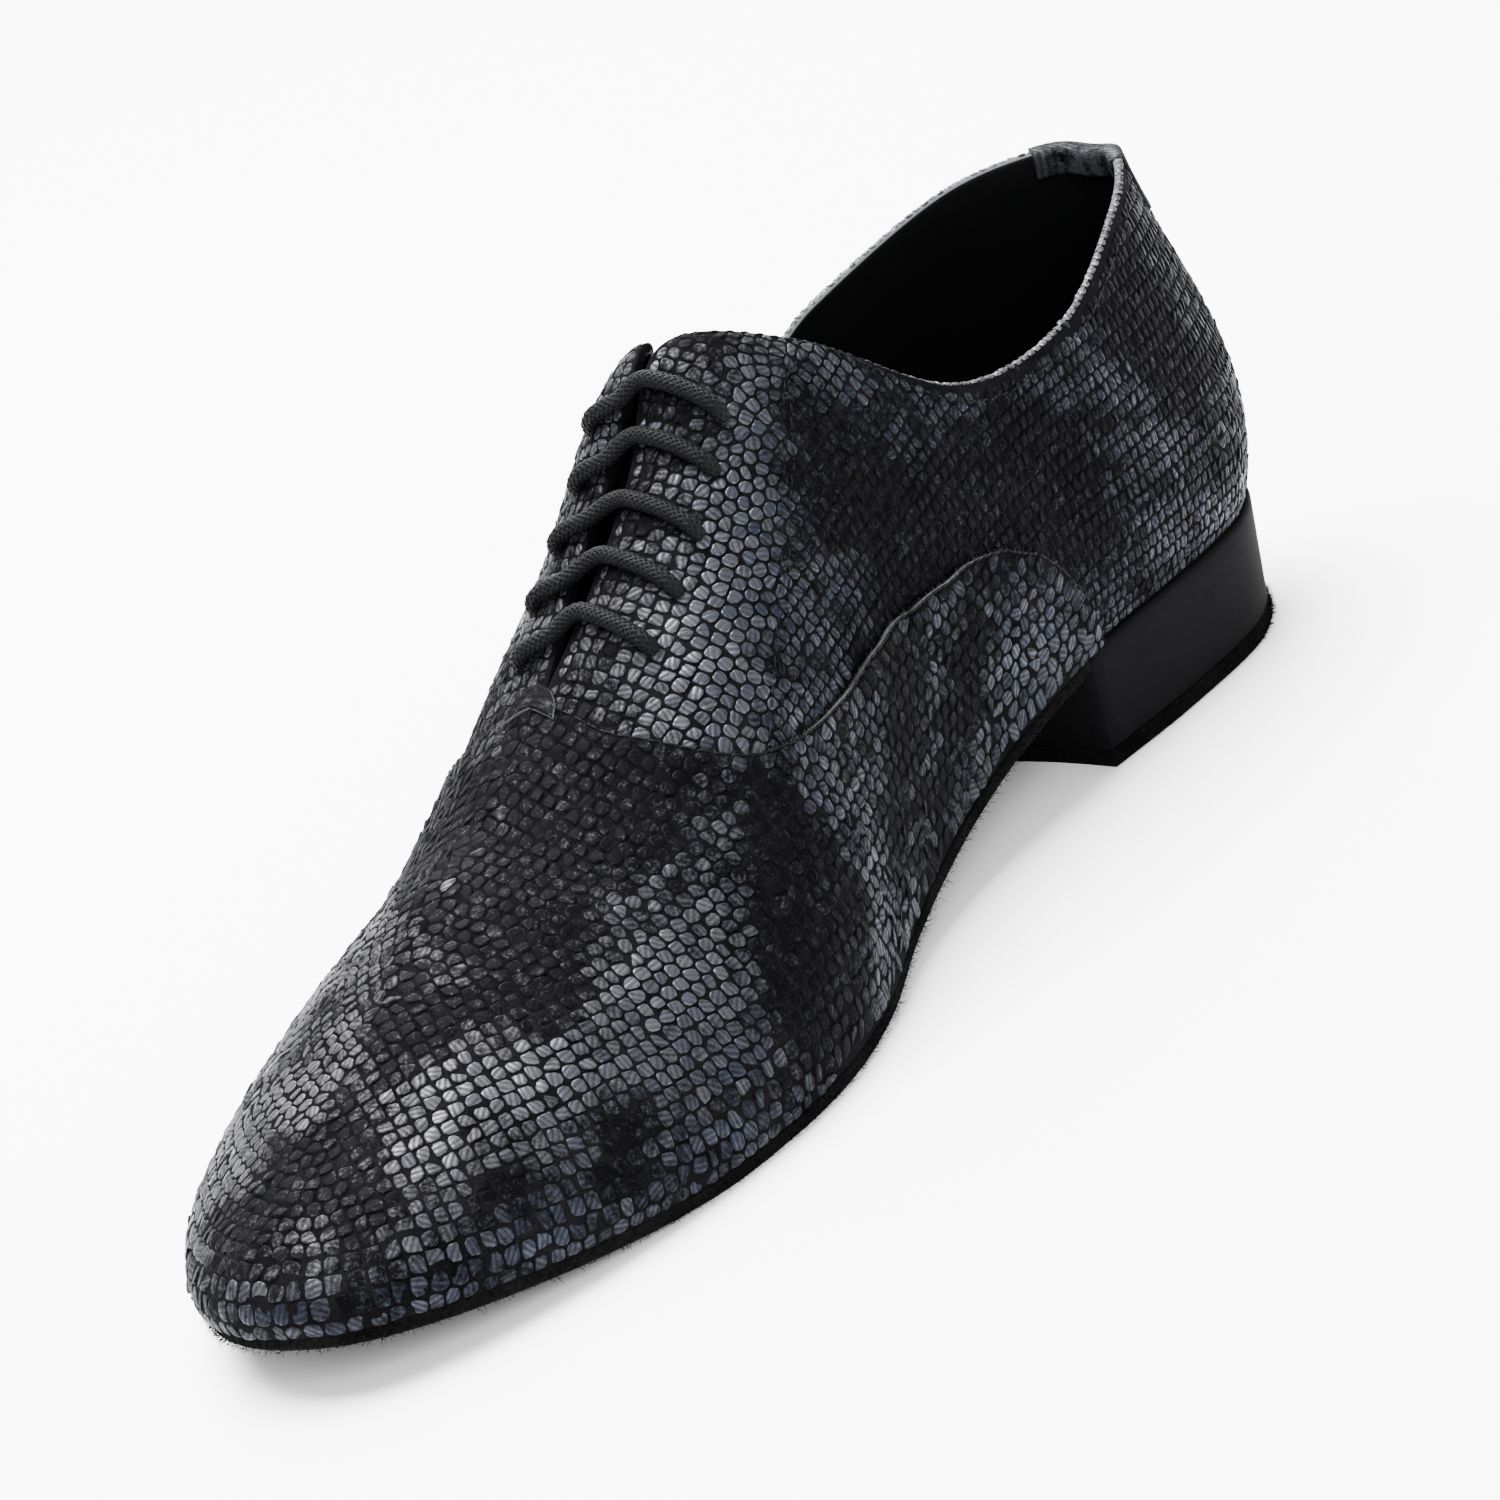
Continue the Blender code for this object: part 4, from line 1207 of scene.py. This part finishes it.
# The quarters' scales: the facing's rows keep their distance from the top, the others from the foot
around = np.linspace(-THROAT_SECTION + 0.01, THROAT_SECTION - 0.01, 1600)
stations = station_of(around)
low = np.maximum(seam_up(stations) + 0.004, 0.012)
high = 1.0 - share_of(around, BINDING_WIDTH)
facing = np.where(stations < 5.0, 1.0, read_line(stations, ((5.0, 1.0), *FACING_STITCH)))
facing = np.maximum(facing, low)
quarter_seeds = panel_seeds(around, low, np.minimum(high, facing), lambda d: 0.0026, lambda d: 0.0021)
facing_seeds = panel_seeds(around, facing, high, lambda d: 0.0028, lambda d: 0.0027, from_top=True)
seeds = np.concatenate([facing_seeds, quarter_seeds])
seeds[:, 0] = np.mod(seeds[:, 0], RING)
top_places = np.linspace(-THROAT_SECTION, THROAT_SECTION, 1500)
top_line = skin(np.mod(top_places, RING), 1.0 - share_of(top_places, 0.0008))
edges = np.concatenate([panel_edges(0.0, 0.004), top_line])
add_scales("quarter_scales", seeds, skin(seeds[:, 0], seeds[:, 1]), upper_surface, edges, 0.0023)

# The rolled rim's scales, one row over the crown of the edge
collar = np.linspace(-LACED_SECTION + 0.2, LACED_SECTION - 0.2, 1500)
rim_places = np.mod(curve_points(collar, np.ones(1500), 0.0019)[0], RING)
top, rise, normal = rim_frame(rim_places)
crown = top + rise * WALL * 0.45 - normal * WALL * 0.30
top, rise, normal = rim_frame(np.mod(np.linspace(-LACED_SECTION, LACED_SECTION, 1800), RING))
edges = np.concatenate([top - rise * 0.0003, top + rise * WALL * 0.25 - normal * WALL * 0.90])
seeds = np.stack([rim_places, np.ones(len(rim_places))], 1)
add_scales("rim_scales", seeds, crown, upper_surface, edges, 0.0012)

finish_piece(add_stitches(upper_surface, vamp_surface))
finish_piece(print_on(add_tab(), TAB_FOIL))
finish_piece(add_edge_fibres(seam_stations))
finish_piece(add_lace(), "lace")
finish_piece(add_tongue(), "tongue")

under = -CLEARANCE
outsole_edge = (
    (0.0, under), (-0.0001, under - 0.0008), (0.0, under - 0.0022), (0.0006, under - OUTSOLE_THICKNESS),
)
outsole = sole_piece("outsole_sheet", HEEL_LENGTH + CLEARANCE, SOLE_EDGE, outsole_edge, SOLE_SUEDE)
finish_piece(outsole, "outsole")
inset = WALL + 3 * CLEARANCE
insole_edge = ((0.0, INSOLE_THICKNESS), (0.0, 0.0))
insole = sole_piece("insole_sheet", 0.004 + inset, -inset, insole_edge, LINING)
finish_piece(insole, "insole")
finish_piece(add_heel(), "heel")
finish_piece(add_top_piece(), "top_piece")
finish_piece(add_suede_fibres())
finish_piece(print_on(add_back_strip(), STRIP_FOIL), "back_strip")

# Floor, lights and camera
floor_look = plain("pale_floor", (0.92, 0.92, 0.92), 0.9)
floor = add_mesh("floor", [(-6, -6, 0), (6, -6, 0), (6, 6, 0), (-6, 6, 0)], [[0, 1, 2, 3]], (floor_look,))


def add_light(name, position, size, energy):
    """A square lamp that faces the shoe."""
    lamp = bpy.data.lights.new(name, "AREA")
    lamp.shape = "SQUARE"
    lamp.size = size
    lamp.energy = energy
    obj = bpy.data.objects.new(name, lamp)
    bpy.context.scene.collection.objects.link(obj)
    obj.location = position
    way = Vector((0.0, 0.0, 0.05)) - Vector(position)
    obj.rotation_euler = way.to_track_quat("-Z", "Y").to_euler()


add_light("top_light", (0.05, -0.30, 1.6), 1.3, 250.0)
add_light("side_light", (0.9, 1.3, 0.9), 0.9, 40.0)
add_light("back_light", (-0.9, -0.9, 1.1), 0.9, 60.0)
world = bpy.data.worlds.new("studio")
bpy.context.scene.world = world
world.use_nodes = True
set_inputs(world.node_tree.nodes["Background"], Color=(1.0, 1.0, 1.0, 1.0), Strength=1.6)

# The camera, fitted to the photo: where it aims, its distance and its turns in degrees
AIM = Vector((0.14089, 0.00545, 0.03749))
DISTANCE = 1.3512
AZIMUTH, ELEVATION, ROLL = 44.56, 19.75, -19.56
LENS = 193.5
camera_data = bpy.data.cameras.new("camera")
camera_data.lens = LENS
camera_data.sensor_width = 36.0
camera_data.clip_start = 0.05
camera = bpy.data.objects.new("camera", camera_data)
bpy.context.scene.collection.objects.link(camera)
azimuth, elevation = math.radians(AZIMUTH), math.radians(ELEVATION)
level = math.cos(elevation)
back = Vector((level * math.cos(azimuth), level * math.sin(azimuth), math.sin(elevation)))
camera.location = AIM + Vector(SHIFT) + back * DISTANCE
turned = back.to_track_quat("Z", "Y").to_matrix() @ Matrix.Rotation(math.radians(ROLL), 3, "Z")
camera.rotation_euler = turned.to_euler()
bpy.context.scene.camera = camera
